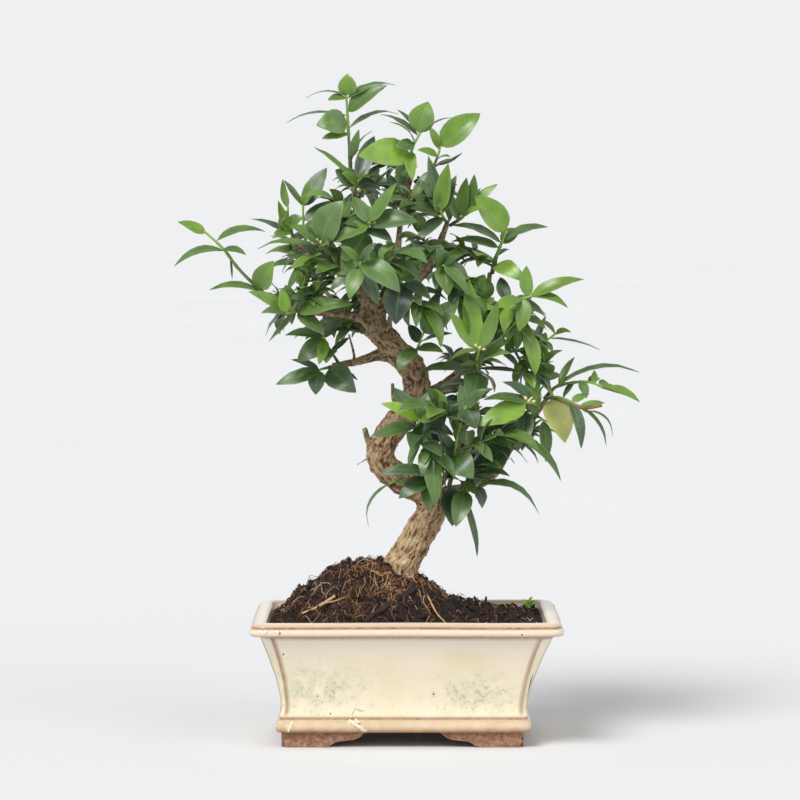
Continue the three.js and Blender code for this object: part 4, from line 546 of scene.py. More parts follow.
def add_node(tree, kind, inputs=None, output=None, stops=(), **settings):
    """Adds a node of a kind with its settings, and gives back its output socket. Its inputs,
    by name or number, are linked where they are sockets and set where they are numbers or hex
    colours. The stops of a colour ramp are (place, hex) pairs."""
    node = tree.nodes.new("ShaderNode" + kind)
    for key, value in settings.items():
        setattr(node, key, value)
    for key, value in (inputs or {}).items():
        named = (s for s in node.inputs if s.name == key and s.enabled)
        socket = node.inputs[key] if isinstance(key, int) else next(named)
        if isinstance(value, bpy.types.NodeSocket):
            tree.links.new(value, socket)
        else:
            socket.default_value = linear(value) if isinstance(value, str) else value
    for k, (at, code) in enumerate(stops):
        elements = node.color_ramp.elements
        element = elements[k] if k < len(elements) else elements.new(at)
        element.position = at
        element.color = linear(code)
    if output is not None:
        return node.outputs[output]
    return next((s for s in node.outputs if s.enabled), node)


def new_material(name):
    """An empty material, the way to add its nodes, and its Object coordinates."""
    material = bpy.data.materials.new(name)
    material.use_nodes = True
    material.node_tree.nodes.clear()
    add = partial(add_node, material.node_tree)
    return material, add, add("TexCoord", output="Object")


def per_mm(size):
    """The scale of a texture on metre coordinates whose pattern repeats over a size in mm."""
    return 1000.0 / size


def leaf_material():
    """Citrus leaf: a waxy cuticle, glossy and darker above, matt and paler below. Thin enough
    for light to show through, with a pale midrib, faint side veins and a thin pale margin."""
    material, add, coords = new_material("citrus_leaf")
    where = add("Attribute", output="Vector", attribute_name="leaf_place")
    parts = add("SeparateXYZ", {"Vector": where}).node
    along, across, side = parts.outputs[0], parts.outputs[1], parts.outputs[2]
    tone = add("Attribute", output="Fac", attribute_name="leaf_tone")
    cloud = add("TexNoise", {"Vector": coords, "Scale": per_mm(14), "Detail": 2.0}, output="Fac")
    fleck = add("TexNoise", {"Vector": coords, "Scale": per_mm(2.2), "Detail": 3.0}, output="Fac")
    blotch = add("TexNoise", {"Vector": coords, "Scale": per_mm(8), "Detail": 3.0}, output="Fac")
    mottle = add("MapRange", {
        "Value": blotch, "From Min": 0.3, "From Max": 0.7, "To Min": -0.07, "To Max": 0.07})
    mottled = add("Math", {0: mottle, 1: tone})
    top = add("ValToRGB", {"Fac": mottled}, stops=[
        (0.0, "#31433a"), (0.2, "#455f3a"), (0.42, "#5c7d34"), (0.64, "#71982c"), (0.8, "#86b032"),
        (0.93, "#8e8e4c"),
    ])
    under = add("ValToRGB", {"Fac": tone}, stops=[
        (0.0, "#5f7350"), (0.4, "#6f8a4e"), (0.7, "#87a64c"), (1.0, "#b5bf62"),
    ])
    shade = add("MapRange", {
        "Value": cloud, "From Min": 0.3, "From Max": 0.7, "To Min": 0.8, "To Max": 1.22})
    bright = add("HueSaturation", {"Value": shade, "Color": top})
    away = add("Math", {0: across}, operation="ABSOLUTE")
    rib = add("MapRange", {
        "Value": away, "From Min": 0.03, "From Max": 0.1, "To Min": 1.0, "To Max": 0.0})
    # Side veins leave the midrib at a slant and run towards the tip
    slant = add("Math", {0: away, 1: -0.32, 2: along}, operation="MULTIPLY_ADD")
    many = add("Math", {0: slant, 1: 56.0}, operation="MULTIPLY")
    beat = add("Math", {0: many}, operation="SINE")
    vein = add("MapRange", {"Value": beat, "From Min": 0.8, "From Max": 1.0})
    margin = add("MapRange", {"Value": away, "From Min": 0.9, "From Max": 0.99})
    lines = ((rib, 0.3, "#86a054"), (vein, 0.08, "#86a054"), (margin, 0.3, "#93a866"))
    for share, strength, pale in lines:
        faint = add("Math", {0: share, 1: strength}, operation="MULTIPLY")
        bright = add("Mix", {"Factor": faint, "A": bright, "B": pale}, data_type="RGBA")
    faint = add("Math", {0: rib, 1: 0.6}, operation="MULTIPLY")
    under_rib = add("Mix", {"Factor": faint, "A": under, "B": "#b7cc86"}, data_type="RGBA")
    colour = add("Mix", {"Factor": side, "A": under_rib, "B": bright}, data_type="RGBA")
    spots = add("MapRange", {"Value": fleck, "From Min": 0.62, "From Max": 0.8, "To Max": 0.1})
    spotted = add("Mix", {"Factor": spots, "A": colour, "B": "#a8b070"}, data_type="RGBA")
    gloss = add("MapRange", {"Value": side, "To Min": 0.55, "To Max": 0.3})
    old = add("MapRange", {"Value": tone, "From Min": 0.9, "To Max": 0.3})
    satin = add("Math", {0: gloss, 1: old})
    rough = add("Math", {0: fleck, 1: 0.12, 2: satin}, operation="MULTIPLY_ADD")
    groove = add("Math", {0: vein, 1: -0.35}, operation="MULTIPLY")
    height = add("Math", {0: rib, 1: -0.9, 2: groove}, operation="MULTIPLY_ADD")
    bump = add("Bump", {"Height": height, "Strength": 0.5, "Distance": 0.0003})
    body = add("BsdfPrincipled", {"Base Color": spotted, "Roughness": rough, "Normal": bump,
                                  "IOR": 1.48, "Coat Weight": 0.45, "Coat Roughness": 0.3})
    glow = add("Mix", {"Factor": 0.5, "A": colour, "B": "#86b82c"}, data_type="RGBA")
    light = add("BsdfTranslucent", {"Color": glow})
    surface = add("MixShader", {0: 0.12, 1: body, 2: light})
    add("OutputMaterial", {"Surface": surface})
    return material


def stem_material():
    """Young citrus wood: smooth green skin, brownish at the foot and yellow-green at the tip."""
    material, add, coords = new_material("green_stem")
    along = add("Attribute", output="Fac", attribute_name="stem_place")
    streak = add("TexNoise", {"Vector": coords, "Scale": per_mm(3), "Detail": 3.0}, output="Fac")
    moved = add("Math", {0: streak, 1: 0.3, 2: along}, operation="MULTIPLY_ADD")
    colour = add("ValToRGB", {"Fac": moved}, stops=[
        (0.1, "#4d4630"), (0.4, "#53663a"), (0.75, "#668f3a"), (1.0, "#8aae4a")])
    bump = add("Bump", {"Height": streak, "Strength": 0.4, "Distance": 0.0003})
    body = add("BsdfPrincipled", {"Base Color": colour, "Roughness": 0.5, "Normal": bump})
    add("OutputMaterial", {"Surface": body})
    return material


def bud_material():
    """Flower buds: waxy cream petals in small brown-green scales."""
    material, add, coords = new_material("flower_bud")
    blotch = add("TexNoise", {"Vector": coords, "Scale": per_mm(2.4), "Detail": 2.0}, output="Fac")
    colour = add("ValToRGB", {"Fac": blotch}, stops=[
        (0.3, "#7d8a3c"), (0.45, "#c9b774"), (0.6, "#efe2b4"), (0.75, "#a8713c")])
    surface = add("BsdfPrincipled", {"Base Color": colour, "Roughness": 0.45})
    add("OutputMaterial", {"Surface": surface})
    return material


def bark_material():
    """Old citrus bark: brown ridges over darker fissures, worn to grey-tan near the soil, with
    a green film of moss and algae on the upper wood and the limbs."""
    material, add, coords = new_material("ridged_bark")
    ridge, age, pale = (
        add("Attribute", output="Fac", attribute_name=name)
        for name in ("bark_ridge", "bark_moss", "bark_pale"))
    grain = add("Attribute", output="Vector", attribute_name="bark_grain")
    fibre = add("TexNoise", {"Vector": grain, "Scale": 2.4, "Detail": 6.0, "Roughness": 0.75},
                output="Fac")
    patch = add("TexNoise", {"Vector": coords, "Scale": per_mm(9), "Detail": 3.0}, output="Fac")
    speck = add("TexNoise", {"Vector": coords, "Scale": per_mm(2.4), "Detail": 6.0,
                             "Roughness": 0.8}, output="Fac")
    raised = add("Math", {0: ridge, 1: 0.36}, operation="MULTIPLY")
    grained = add("Math", {0: fibre, 1: 0.34, 2: raised}, operation="MULTIPLY_ADD")
    relief = add("Math", {0: speck, 1: 0.45, 2: grained}, operation="MULTIPLY_ADD")
    brown = add("ValToRGB", {"Fac": relief}, stops=[
        (0.46, "#1c120c"), (0.53, "#483120"), (0.58, "#74543b"), (0.64, "#987556"), (0.72, "#c0a384"),
    ])
    tan = add("ValToRGB", {"Fac": relief}, stops=[
        (0.46, "#36261a"), (0.53, "#7a5c3e"), (0.6, "#b08d63"), (0.7, "#d8be97"),
    ])
    worn = add("MapRange", {"Value": patch, "From Min": 0.3, "From Max": 0.55})
    tan_share = add("Math", {0: pale, 1: worn}, operation="MULTIPLY")
    wood = add("Mix", {"Factor": tan_share, "A": brown, "B": tan}, data_type="RGBA")
    dust = add("MapRange", {"Value": speck, "From Min": 0.58, "From Max": 0.72, "To Max": 0.4})
    grey = add("Mix", {"Factor": dust, "A": wood, "B": "#a79c8a"}, data_type="RGBA")
    moss = add("ValToRGB", {"Fac": relief}, stops=[(0.46, "#1f1e12"), (0.57, "#58533a"), (0.7, "#8f8b64")])
    film = add("MapRange", {"Value": patch, "From Min": 0.35, "From Max": 0.6, "To Min": 0.25})
    moss_share = add("Math", {0: age, 1: film}, operation="MULTIPLY")
    colour = add("Mix", {"Factor": moss_share, "A": grey, "B": moss}, data_type="RGBA")
    grit = add("Math", {0: speck, 1: 0.3}, operation="MULTIPLY")
    height = add("Math", {0: fibre, 1: 0.7, 2: grit}, operation="MULTIPLY_ADD")
    bump = add("Bump", {"Height": height, "Strength": 0.9, "Distance": 0.0014})
    body = add("BsdfPrincipled", {"Base Color": colour, "Roughness": 0.85, "Normal": bump})
    add("OutputMaterial", {"Surface": body})
    return material


def glaze_material():
    """Stoneware under a cream glaze: glossy and thick on the walls, thin and brown where it
    breaks over edges, orange-tan on the foot roll, with bare clay on the feet. Pinholes and
    greenish mineral specks lie low on the walls."""
    material, add, coords = new_material("cream_glazed_stoneware")
    thin, iron, clay, mineral, milky = (
        add("Attribute", output="Fac", attribute_name=name)
        for name in ("glaze_thin", "glaze_iron", "bare_clay", "mineral", "milky"))
    cloud = add("TexNoise", {"Vector": coords, "Scale": per_mm(38), "Detail": 3.0}, output="Fac")
    speck = add("TexNoise", {"Vector": coords, "Scale": per_mm(2.6), "Detail": 5.0,
                             "Roughness": 0.7}, output="Fac")
    blot = add("TexNoise", {"Vector": coords, "Scale": per_mm(7), "Detail": 3.0}, output="Fac")
    base = add("ValToRGB", {"Fac": cloud}, stops=[(0.3, "#e4d8b4"), (0.5, "#ebdec1"), (0.7, "#efe1ca")])
    milk = add("Mix", {"Factor": milky, "A": base, "B": "#eee2cf"}, data_type="RGBA")
    uneven = add("MapRange", {"Value": blot, "From Min": 0.35, "From Max": 0.65})
    green_share = add("Math", {0: mineral, 1: uneven}, operation="MULTIPLY")
    green = add("Mix", {"Factor": green_share, "A": milk, "B": "#d6d2b2"}, data_type="RGBA")
    grains = add("MapRange", {"Value": speck, "From Min": 0.52, "From Max": 0.64})
    dots = add("Math", {0: green_share, 1: grains}, operation="MULTIPLY")
    dotted = add("Mix", {"Factor": dots, "A": green, "B": "#a5a388"}, data_type="RGBA")
    rust = add("ValToRGB", {"Fac": blot}, stops=[(0.3, "#a97f5b"), (0.7, "#c9a57e")])
    orange = add("Mix", {"Factor": iron, "A": dotted, "B": rust}, data_type="RGBA")
    broken_up = add("MapRange", {"Value": blot, "From Min": 0.25, "From Max": 0.6, "To Min": 0.7})
    worn = add("Math", {0: thin, 1: broken_up}, operation="MULTIPLY")
    brown = add("ValToRGB", {"Fac": speck}, stops=[(0.35, "#6e4a2e"), (0.65, "#ad7f54")])
    edged = add("Mix", {"Factor": worn, "A": orange, "B": brown}, data_type="RGBA")
    fleck = add("MapRange", {"Value": speck, "From Min": 0.6, "From Max": 0.72, "To Max": 0.3})
    flecked = add("Mix", {"Factor": fleck, "A": edged, "B": "#c0a987"}, data_type="RGBA")
    cells = add("TexVoronoi", {"Vector": coords, "Scale": per_mm(11)}).node
    near = add("MapRange", {"Value": cells.outputs["Distance"], "From Min": 0.045,
                            "From Max": 0.07, "To Min": 1.0, "To Max": 0.0})
    number = add("SeparateColor", {"Color": cells.outputs["Color"]})
    chosen = add("Math", {0: number, 1: 0.55}, operation="GREATER_THAN")
    hole = add("Math", {0: near, 1: chosen}, operation="MULTIPLY")
    pitted = add("Mix", {"Factor": hole, "A": flecked, "B": "#4a3a2c"}, data_type="RGBA")
    raw = add("ValToRGB", {"Fac": speck}, stops=[(0.3, "#6b4a39"), (0.5, "#90694f"), (0.7, "#b3927a")])
    colour = add("Mix", {"Factor": clay, "A": pitted, "B": raw}, data_type="RGBA")
    rough = add("MapRange", {"Value": clay, "To Min": 0.2, "To Max": 0.85})
    grog = add("Math", {0: clay, 1: speck}, operation="MULTIPLY")
    pits = add("Math", {0: hole, 1: -1.2, 2: grog}, operation="MULTIPLY_ADD")
    peel = add("Math", {0: blot, 1: 0.35, 2: pits}, operation="MULTIPLY_ADD")
    bump = add("Bump", {"Height": peel, "Strength": 0.35, "Distance": 0.0006})
    body = add("BsdfPrincipled", {"Base Color": colour, "Roughness": rough, "Normal": bump, "IOR": 1.5})
    add("OutputMaterial", {"Surface": body})
    return material


def soil_material():
    """Moist peat: near black, with rust-brown crumbs."""
    material, add, coords = new_material("moist_peat")
    crumb = add("TexNoise", {"Vector": coords, "Scale": per_mm(3), "Detail": 6.0,
                             "Roughness": 0.7}, output="Fac")
    patch = add("TexNoise", {"Vector": coords, "Scale": per_mm(16), "Detail": 2.0}, output="Fac")
    dark = add("ValToRGB", {"Fac": crumb}, stops=[
        (0.35, "#0f0a09"), (0.5, "#1f1714"), (0.62, "#3a2b23"), (0.76, "#745b46")])
    rust = add("ValToRGB", {"Fac": crumb}, stops=[(0.35, "#140b07"), (0.52, "#2c1a10"), (0.72, "#553722")])
    share = add("MapRange", {"Value": patch, "From Min": 0.5, "From Max": 0.66})
    colour = add("Mix", {"Factor": share, "A": dark, "B": rust}, data_type="RGBA")
    bump = add("Bump", {"Height": crumb, "Strength": 1.0, "Distance": 0.0015})
    body = add("BsdfPrincipled", {"Base Color": colour, "Roughness": 0.9, "Normal": bump})
    add("OutputMaterial", {"Surface": body})
    return material


def fibre_material():
    """Root fibre: dead ones nearly black, older ones rust brown, fresh ones tan."""
    material, add, coords = new_material("root_fibre")
    tone = add("Attribute", output="Fac", attribute_name="fibre_tone")
    streak = add("TexNoise", {"Vector": coords, "Scale": per_mm(2), "Detail": 3.0}, output="Fac")
    moved = add("Math", {0: streak, 1: 0.2, 2: tone}, operation="MULTIPLY_ADD")
    colour = add("ValToRGB", {"Fac": moved}, stops=[
        (0.1, "#0f0a08"), (0.35, "#2a1a14"), (0.55, "#583826"), (0.75, "#9a6a42"), (0.95, "#cfa678"),
        (1.0, "#e0cbaa"),
    ])
    bump = add("Bump", {"Height": streak, "Strength": 0.6, "Distance": 0.0004})
    body = add("BsdfPrincipled", {"Base Color": colour, "Roughness": 0.75, "Normal": bump})
    add("OutputMaterial", {"Surface": body})
    return material


def mesh_material():
    """Black polypropylene drain mesh, moulded, with a faint satin."""
    material, add, coords = new_material("black_polypropylene")
    grain = add("TexNoise", {"Vector": coords, "Scale": per_mm(0.8), "Detail": 2.0}, output="Fac")
    colour = add("ValToRGB", {"Fac": grain}, stops=[(0.3, "#151515"), (0.7, "#262626")])
    surface = add("BsdfPrincipled", {"Base Color": colour, "Roughness": 0.55})
    add("OutputMaterial", {"Surface": surface})
    return material


LEAF = leaf_material()
STEM = stem_material()
BUD = bud_material()
BARK = bark_material()
GLAZE = glaze_material()
PEAT = soil_material()
FIBRE = fibre_material()
PLASTIC = mesh_material()


# Leaves and shoots

# Around a leaf: edge, upper face, edge, under face, as places across it and which side they are
ACROSS = np.array([-1.0, -0.5, 0.0, 0.5, 1.0, 0.0])
SIDE = np.array([0.5, 1.0, 1.0, 1.0, 0.5, 0.0])
ALONG = np.array([0.04, 0.1, 0.19, 0.32, 0.47, 0.63, 0.78, 0.9, 0.97])
AROUND = len(ACROSS)
LEAF_SHARE, TIP_SHARE = 0.66, 0.92  # powers of the outline at the foot and at the tip
PETIOLE = 0.5  # half the width of a leaf's stalk
LEAF_THICKNESS = 0.34
MARGIN_ANGLE = math.radians(75)  # a leaf's margin is crisp; its midrib and stalk are not
FULLNESS = 1.13  # how much wider than its table width a leaf is, for what its folds hide
WAVES = 17  # radians of its margin's wave, from stalk to tip
OLDEST_TONE, TONE_JITTER = 1.3, 0.08  # a yellowing leaf's tone, and how tones stray


def leaves(base, tip, width, arch, roll, tone):
    """Closed blades, one row of the arrays each. The half width along a leaf is
    a^0.66 (1 - a)^0.92, scaled to its widest; the midrib is a parabola of the given arch; the
    halves rise from it in a shallow V that flattens outward, with a slow twist and a wavy
    edge."""
    count = len(base)
    along = unit(tip - base)
    reach = np.linalg.norm(tip - base, axis=1)
    up = np.array([0.0, 0, 1]) - along * along[:, 2:3]
    front = np.array([0.0, -1, 0]) + along * along[:, 1:2]
    up = np.where(np.linalg.norm(up, axis=1, keepdims=True) > 0.05, up, front)
    front = np.where(np.linalg.norm(front, axis=1, keepdims=True) > 0.05, front, up)
    angle = np.radians(roll)[:, None]
    face = unit(unit(up) * np.cos(angle) + unit(front) * np.sin(angle))
    side = unit(np.cross(along, face))
    fold = rng.uniform(0.16, 0.5, count)
    twist = rng.uniform(-0.45, 0.45, count)
    wave = rng.uniform(0.02, 0.07, count)
    phase = rng.uniform(0, FULL_TURN, count)
    sway = rng.uniform(-0.05, 0.05, count) * reach
    hook = rng.uniform(0.0, 0.07, count) * reach
    a = ALONG[None, :, None]
    peak = LEAF_SHARE / (LEAF_SHARE + TIP_SHARE)
    shape = (a**LEAF_SHARE * (1 - a) ** TIP_SHARE) / (peak**LEAF_SHARE * (1 - peak) ** TIP_SHARE)
    blade = smooth_step(a, 0.04, 0.12)
    half = PETIOLE * (1 - blade) + blade * shape * width[:, None, None] / 2
    s = ACROSS[None, None, :]
    spread = FULLNESS * half * s
    rise = half * (fold[:, None, None] * np.abs(s) - 0.12 * s**2) * blade
    rise = rise + half * wave[:, None, None] * s**2 * np.sin(WAVES * a + phase[:, None, None] + 1.5 * s)
    rise = rise + (SIDE - 0.5)[None, None, :] * LEAF_THICKNESS * (1 + 1.4 * (1 - blade))
    turn = twist[:, None, None] * (a - 0.3)
    offset_side = spread * np.cos(turn) - rise * np.sin(turn) + sway[:, None, None] * np.sin(math.pi * a)
    offset_face = spread * np.sin(turn) + rise * np.cos(turn)
    offset_face = offset_face + 4 * arch[:, None, None] * a * (1 - a)
    offset_face = offset_face - hook[:, None, None] * smooth_step(a, 0.7, 1.0)
    middle = base[:, None, None] + (tip - base)[:, None, None] * a[..., None]
    rings = middle + side[:, None, None] * offset_side[..., None]
    rings = rings + face[:, None, None] * offset_face[..., None]
    tips = tip - face * hook[:, None]
    points = np.concatenate([base[:, None], rings.reshape(count, -1, 3), tips[:, None]], axis=1)
    ring_count = len(ALONG)
    place_row = np.stack([
        np.repeat(ALONG, AROUND), np.tile(ACROSS, ring_count), np.tile(SIDE, ring_count)], -1)
    place_row = np.vstack([[0, 0, 0.5], place_row, [1, 0, 0.5]])
    quads = grid_faces(ring_count, AROUND, True) + 1
    last = 1 + (ring_count - 1) * AROUND
    fans = [[0, 1 + (k + 1) % AROUND, 1 + k] for k in range(AROUND)]
    fans += [[last + k, last + (k + 1) % AROUND, last + AROUND] for k in range(AROUND)]
    one = quads.tolist() + fans
    size = points.shape[1]
    tones = tone + rng.normal(0, TONE_JITTER, count)
    return {
        "points": points.reshape(-1, 3),
        "faces": [[v + n * size for v in f] for n in range(count) for f in one],
        "values": {
            "leaf_place": np.tile(place_row, (count, 1)),
            "leaf_tone": np.repeat(np.clip(tones / OLDEST_TONE, 0, 1), size),
        },
    }


def drawn_out(line, length):
    """A line lengthened at both ends, straight on."""
    first = line[0] + unit(line[0] - line[1]) * length
    last = line[-1] + unit(line[-1] - line[-2]) * length
    return np.vstack([first, line, last])


def stem(points, foot, bumps):
    """A young stem: a tube that narrows to its tip and swells a little where leaves grow. Its
    foot reaches into the wood it grows from."""
    t = np.linspace(0, 1, max(8, int(3 * len(points) + len(bumps))))
    t = np.unique(np.round(np.concatenate([t, bumps]), 3))
    radii = foot + (SHOOT_TIP - foot) * t
    swell = np.exp(-(((t[:, None] - np.asarray(bumps)[None, :]) / 0.03) ** 2)).max(axis=1)
    radii = radii * (1 + 0.28 * swell)
    line = drawn_out(even_places(points, t), 0.5)
    line[0] = line[1] + unit(line[0] - line[1]) * 2.5
    radii = np.concatenate([radii[:1], radii, radii[-1:] * 0.6])
    made = tube(line, radii, 8, {"stem_place": np.concatenate([t[:1], t, t[-1:]])})
    return {**made, "material": 1}


def bud(centre, radius, way):
    """An ellipsoid whose long axis points along a way, as rings from pole to pole."""
    polar = np.linspace(0.18, math.pi - 0.12, 5)
    line = centre + unit(way) * (-np.cos(polar) * radius * BUD_STRETCH)[:, None]
    return {**tube(line, np.sin(polar) * radius, 7), "material": 2}


def bud_cluster(centre, count):
    """Flower buds on short stalks that spread from one place on a stem, mostly upwards."""
    made = []
    for k in range(count):
        turn = k * GOLDEN_ANGLE
        lift = 0.15 + 0.8 * (k + 0.5) / count
        way = np.array([math.cos(turn) * (1 - 0.6 * lift), math.sin(turn) * (1 - 0.6 * lift), lift])
        reach = 2.6 + 1.3 * math.sin(2.3 * k)
        end = centre + unit(way) * reach
        stalk = tube(np.array([centre, (centre + end) / 2, end]), 0.35, 5, {"stem_place": 0.8})
        size = BUD_RADIUS * (0.75 + 0.35 * math.sin(1.7 * k + 1) ** 2)
        made += [{**stalk, "material": 1}, bud(end + unit(way) * size * 0.7, size, way)]
    return made


def ruled_parts(start, direction, length, count, longest, first, radius, tone):
    """A stem and leaves that grow by rule: leaves turn by the golden angle up the stem, lean
    closer to it towards its tip, and droop by a share of their length. Between them stand
    smaller leaves, a quarter turn on."""
    way = unit(np.array(direction, float))
    share = np.array([0, 0.5, 1])[:, None]
    line = start + way * length * share
    line[:, 2] += STEM_RISE * length * share[:, 0] ** 2
    whole = np.arange(count)
    number = np.concatenate([whole, whole[:-1] + 0.5])
    small = np.concatenate([np.ones(count), np.full(count - 1, YOUNG_LEAVES)])
    step = number / (count - 1)
    at = np.minimum(FIRST_LEAF + (1 - FIRST_LEAF) * step, LAST_LEAF)
    base = even_places(line, at)
    tangent = unit(even_places(line, np.minimum(at + 0.01, 1)) - even_places(line, at - 0.01))
    sideways = unit(np.cross(tangent, [0, 0, 1]))
    upright = np.cross(sideways, tangent)
    phase = (math.radians(first) + number * GOLDEN_ANGLE + (small < 1) * 1.6)[:, None]
    lean = np.radians(SPREAD[0] + (SPREAD[1] - SPREAD[0]) * step)[:, None]
    size = longest * (0.8 + 0.2 * np.sin(2.1 * number)) * small
    out = sideways * np.cos(phase) + upright * np.sin(phase)
    tip = base + (tangent * np.cos(lean) + out * np.sin(lean)) * size[:, None]
    tip[:, 2] -= DROOP * size
    tones = np.clip(rng.normal(tone, 0.13, len(number)) + 0.18 * step, 0, 1)
    made = leaves(base, tip, BREADTH * size, ARCH * size, np.full(len(number), 20.0), tones)
    return line, [made, stem(line, radius, at[:count])]


def shoot_piece(name, line, parts):
    """One leafy shoot with its side twigs and buds, as one mesh in place of its node."""
    for shoot, t, *rule, first, tone in SIDE_TWIGS:
        if shoot == name:
            start = even_places(line, np.array([t]))[0]
            parts = parts + ruled_parts(start, *rule, first, TWIG_FOOT_RADIUS, tone)[1]
    for shoot, t, count in BUDS:
        if shoot == name:
            parts = parts + bud_cluster(even_places(line, np.array([t]))[0], count)
    if name == "right_hub":
        twig = even_places(place(CUT_TWIG), np.linspace(0, 1, 12))
        made = tube(twig, np.linspace(*CUT_TWIG_RADII, 12), 9, {"fibre_tone": 0.62})
        parts = parts + [{**made, "material": 3}]
    mesh = mesh_from(name, joined(parts))
    piece(name, mesh, [LEAF, STEM, BUD, FIBRE], [name])
    mesh.set_sharp_from_angle(angle=MARGIN_ANGLE)


def make_front_shoots():
    """The shoots that the front view shows, from their table."""
    for name, foot, points, rows in SHOOTS:
        line = place(points)
        row = np.array(rows, float)
        t = np.minimum(row[:, 0], LAST_LEAF)
        made = leaves(curve_at(line, t), place(row[:, 1:4]), row[:, 4], row[:, 5], row[:, 6], row[:, 7])
        shoot_piece(name, line, [made, stem(line, foot, t)])


def make_rear_shoots():
    """The far side's shoots, by rule from the limbs. Their leaves take a dark tone as painted shade for
    the depth of the crown.
    """
    lines = {name: place(points) for name, _, _, points in LIMBS}
    for name, limb, t, direction, length, *rule in REAR_SHOOTS:
        start = even_places(lines[limb], np.array([t]))[0]
        # Tone 0.28 here and 0.32 for the side twigs below: painted shade, darker leaves deep in the crown
        line, parts = ruled_parts(start, direction, length, *rule, REAR_FOOT_RADIUS, 0.28)
        for side, share in ((-1, 0.3), (1, 0.12)):
            way = np.cross(direction, [0, 0, side]) + 0.35 * np.array(direction) + [0, 0, 0.45]
            fork = even_places(line, np.array([share]))[0]
            parts += ruled_parts(fork, way, 0.55 * length, *YOUNG_TWIG, 70 * side, 0.7, 0.32)[1]
        shoot_piece(name, line, parts)


# Trunk

FUSE_VOXEL = 0.65  # millimetres, the fineness of the trunk's surface
RIDGE_WIDTH, RIDGE_LENGTH = 2.0, 4.6  # of one plate of bark
ROOT_FLARE = 0.28  # how much thicker the trunk is at the soil
FLARE_FROM, FLARE_HEIGHT = 102.0, 7.0  # where that begins to die away, and how fast
LINE_GAP = 400  # keeps one limb's grain apart from the next one's
BLOCK = 4000  # points of the bark that are matched to the wood's lines at a time


def wood_lines():
    """The trunk, limbs and stubs as fine lines with a radius at each point. A limb's foot
    flares into the wood it leaves."""
    rows = np.array(TRUNK, float)
    spots = place(rows[:, :3])
    t = np.linspace(0, 1, 240)
    walked = distances(spots)
    radii = np.interp(t * walked[-1], walked, rows[:, 3])
    line = even_places(spots, t)
    spread = np.exp(-np.maximum(line[:, 2] - FLARE_FROM, 0) / FLARE_HEIGHT)
    made = [(line, radii * (1 + ROOT_FLARE * spread))]
    for name, foot, end, points in LIMBS + STUBS:
        spots = place(points)
        length = distances(spots)[-1]
        t = np.linspace(0, 1, max(12, int(length / 1.2)))
        radii = foot + (end - foot) * t
        flare = 1 + (0.55 if foot > 1.5 else 0.2) * np.exp(-t * length / (2.2 * foot))
        made.append((drawn_out(even_places(spots, t), 1.4), np.pad(radii * flare, 1, mode="edge")))
    return made


def fused_wood(lines):
    """All the wood as one skin: closed tubes joined by a fine voxel remesh."""
    parts = [tube(line, radii, 16) for line, radii in lines]
    raw = shown("wood", mesh_from("wood", joined(parts)))
    fuse = raw.modifiers.new("fuse", "REMESH")
    fuse.mode = "VOXEL"
    fuse.voxel_size = FUSE_VOXEL * MM
    smoothing = raw.modifiers.new("ease", "SMOOTH")
    smoothing.factor = 0.5
    smoothing.iterations = 3
    fused = evaluated_mesh(raw)
    bpy.data.objects.remove(raw)
    return fused


def make_trunk():
    """Bark: the fused wood is raised along its normals by ridges that run with the grain. Each
    point finds the wood line it lies on; its place across and along that line, stretched
    along it, feeds the noise."""
    lines = wood_lines()
    fused = fused_wood(lines)
    count = len(fused.vertices)
    points, normals = np.empty(count * 3), np.empty(count * 3)
    fused.vertices.foreach_get("co", points)
    fused.vertices.foreach_get("normal", normals)
    points, normals = points.reshape(-1, 3) / MM, normals.reshape(-1, 3)
    spots = np.concatenate([line for line, _ in lines])
    radii = np.concatenate([radius for _, radius in lines])
    owner = np.concatenate([np.full(len(line), k) for k, (line, _) in enumerate(lines)])
    frames = [frames_along(line) for line, _ in lines]
    normal = np.concatenate([f[1] for f in frames])
    binormal = np.concatenate([f[2] for f in frames])
    run = np.concatenate([distances(line) + LINE_GAP * k for k, (line, _) in enumerate(lines)])
    nearest = np.empty(count, int)
    for low in range(0, count, BLOCK):
        block = points[low : low + BLOCK]
        gap = np.linalg.norm(block[:, None] - spots[None], axis=2) / radii[None]
        nearest[low : low + BLOCK] = gap.argmin(axis=1)
    away = points - spots[nearest]
    radius = radii[nearest]
    grain = np.stack([
        (away * normal[nearest]).sum(1) / RIDGE_WIDTH,
        (away * binormal[nearest]).sum(1) / RIDGE_WIDTH,
        run[nearest] / RIDGE_LENGTH,
    ], -1)
    bent = grain + 1.5 * (noise(points, 5.0, 3)[:, None] - 0.5) * [1.0, 0.6, 0.8]
    crest = 1 - np.abs(2 * noise(bent, 1.0, 1) - 1)
    fine = 1 - np.abs(2 * noise(bent * [2.3, 2.3, 2.0], 1.0, 2) - 1)
    ridge = 0.55 * crest + 0.45 * fine
    lump = noise(points, 7.0, 5) + 0.7 * noise(points, 3.0, 6) - 0.85
    old = smooth_step(radius, 1.4, 6.0)
    rough_skin = (ridge - 0.55) * (0.35 + 2.1 * old) + lump * (0.3 + 1.6 * old)
    points = points + normals * rough_skin[:, None]
    height = points[:, 2]
    is_trunk = owner[nearest] == 0
    moss = np.where(is_trunk, smooth_step(height, 228, 275) * 0.75, 0.7 * (1 - 0.4 * old))
    pale = np.where(is_trunk, 1 - 0.85 * smooth_step(height, 126, 165), 0.1)
    fused.vertices.foreach_set("co", (points * MM).ravel())
    for key, value in (("bark_ridge", ridge), ("bark_moss", moss), ("bark_pale", pale)):
        fused.attributes.new(key, "FLOAT", "POINT").data.foreach_set("value", value)
    layer = fused.attributes.new("bark_grain", "FLOAT_VECTOR", "POINT")
    layer.data.foreach_set("vector", bent.ravel())
    fused.polygons.foreach_set("use_smooth", [True] * len(fused.polygons))
    fused.update()
    piece("trunk_bark", fused, [BARK], ["trunk"])


# Pot

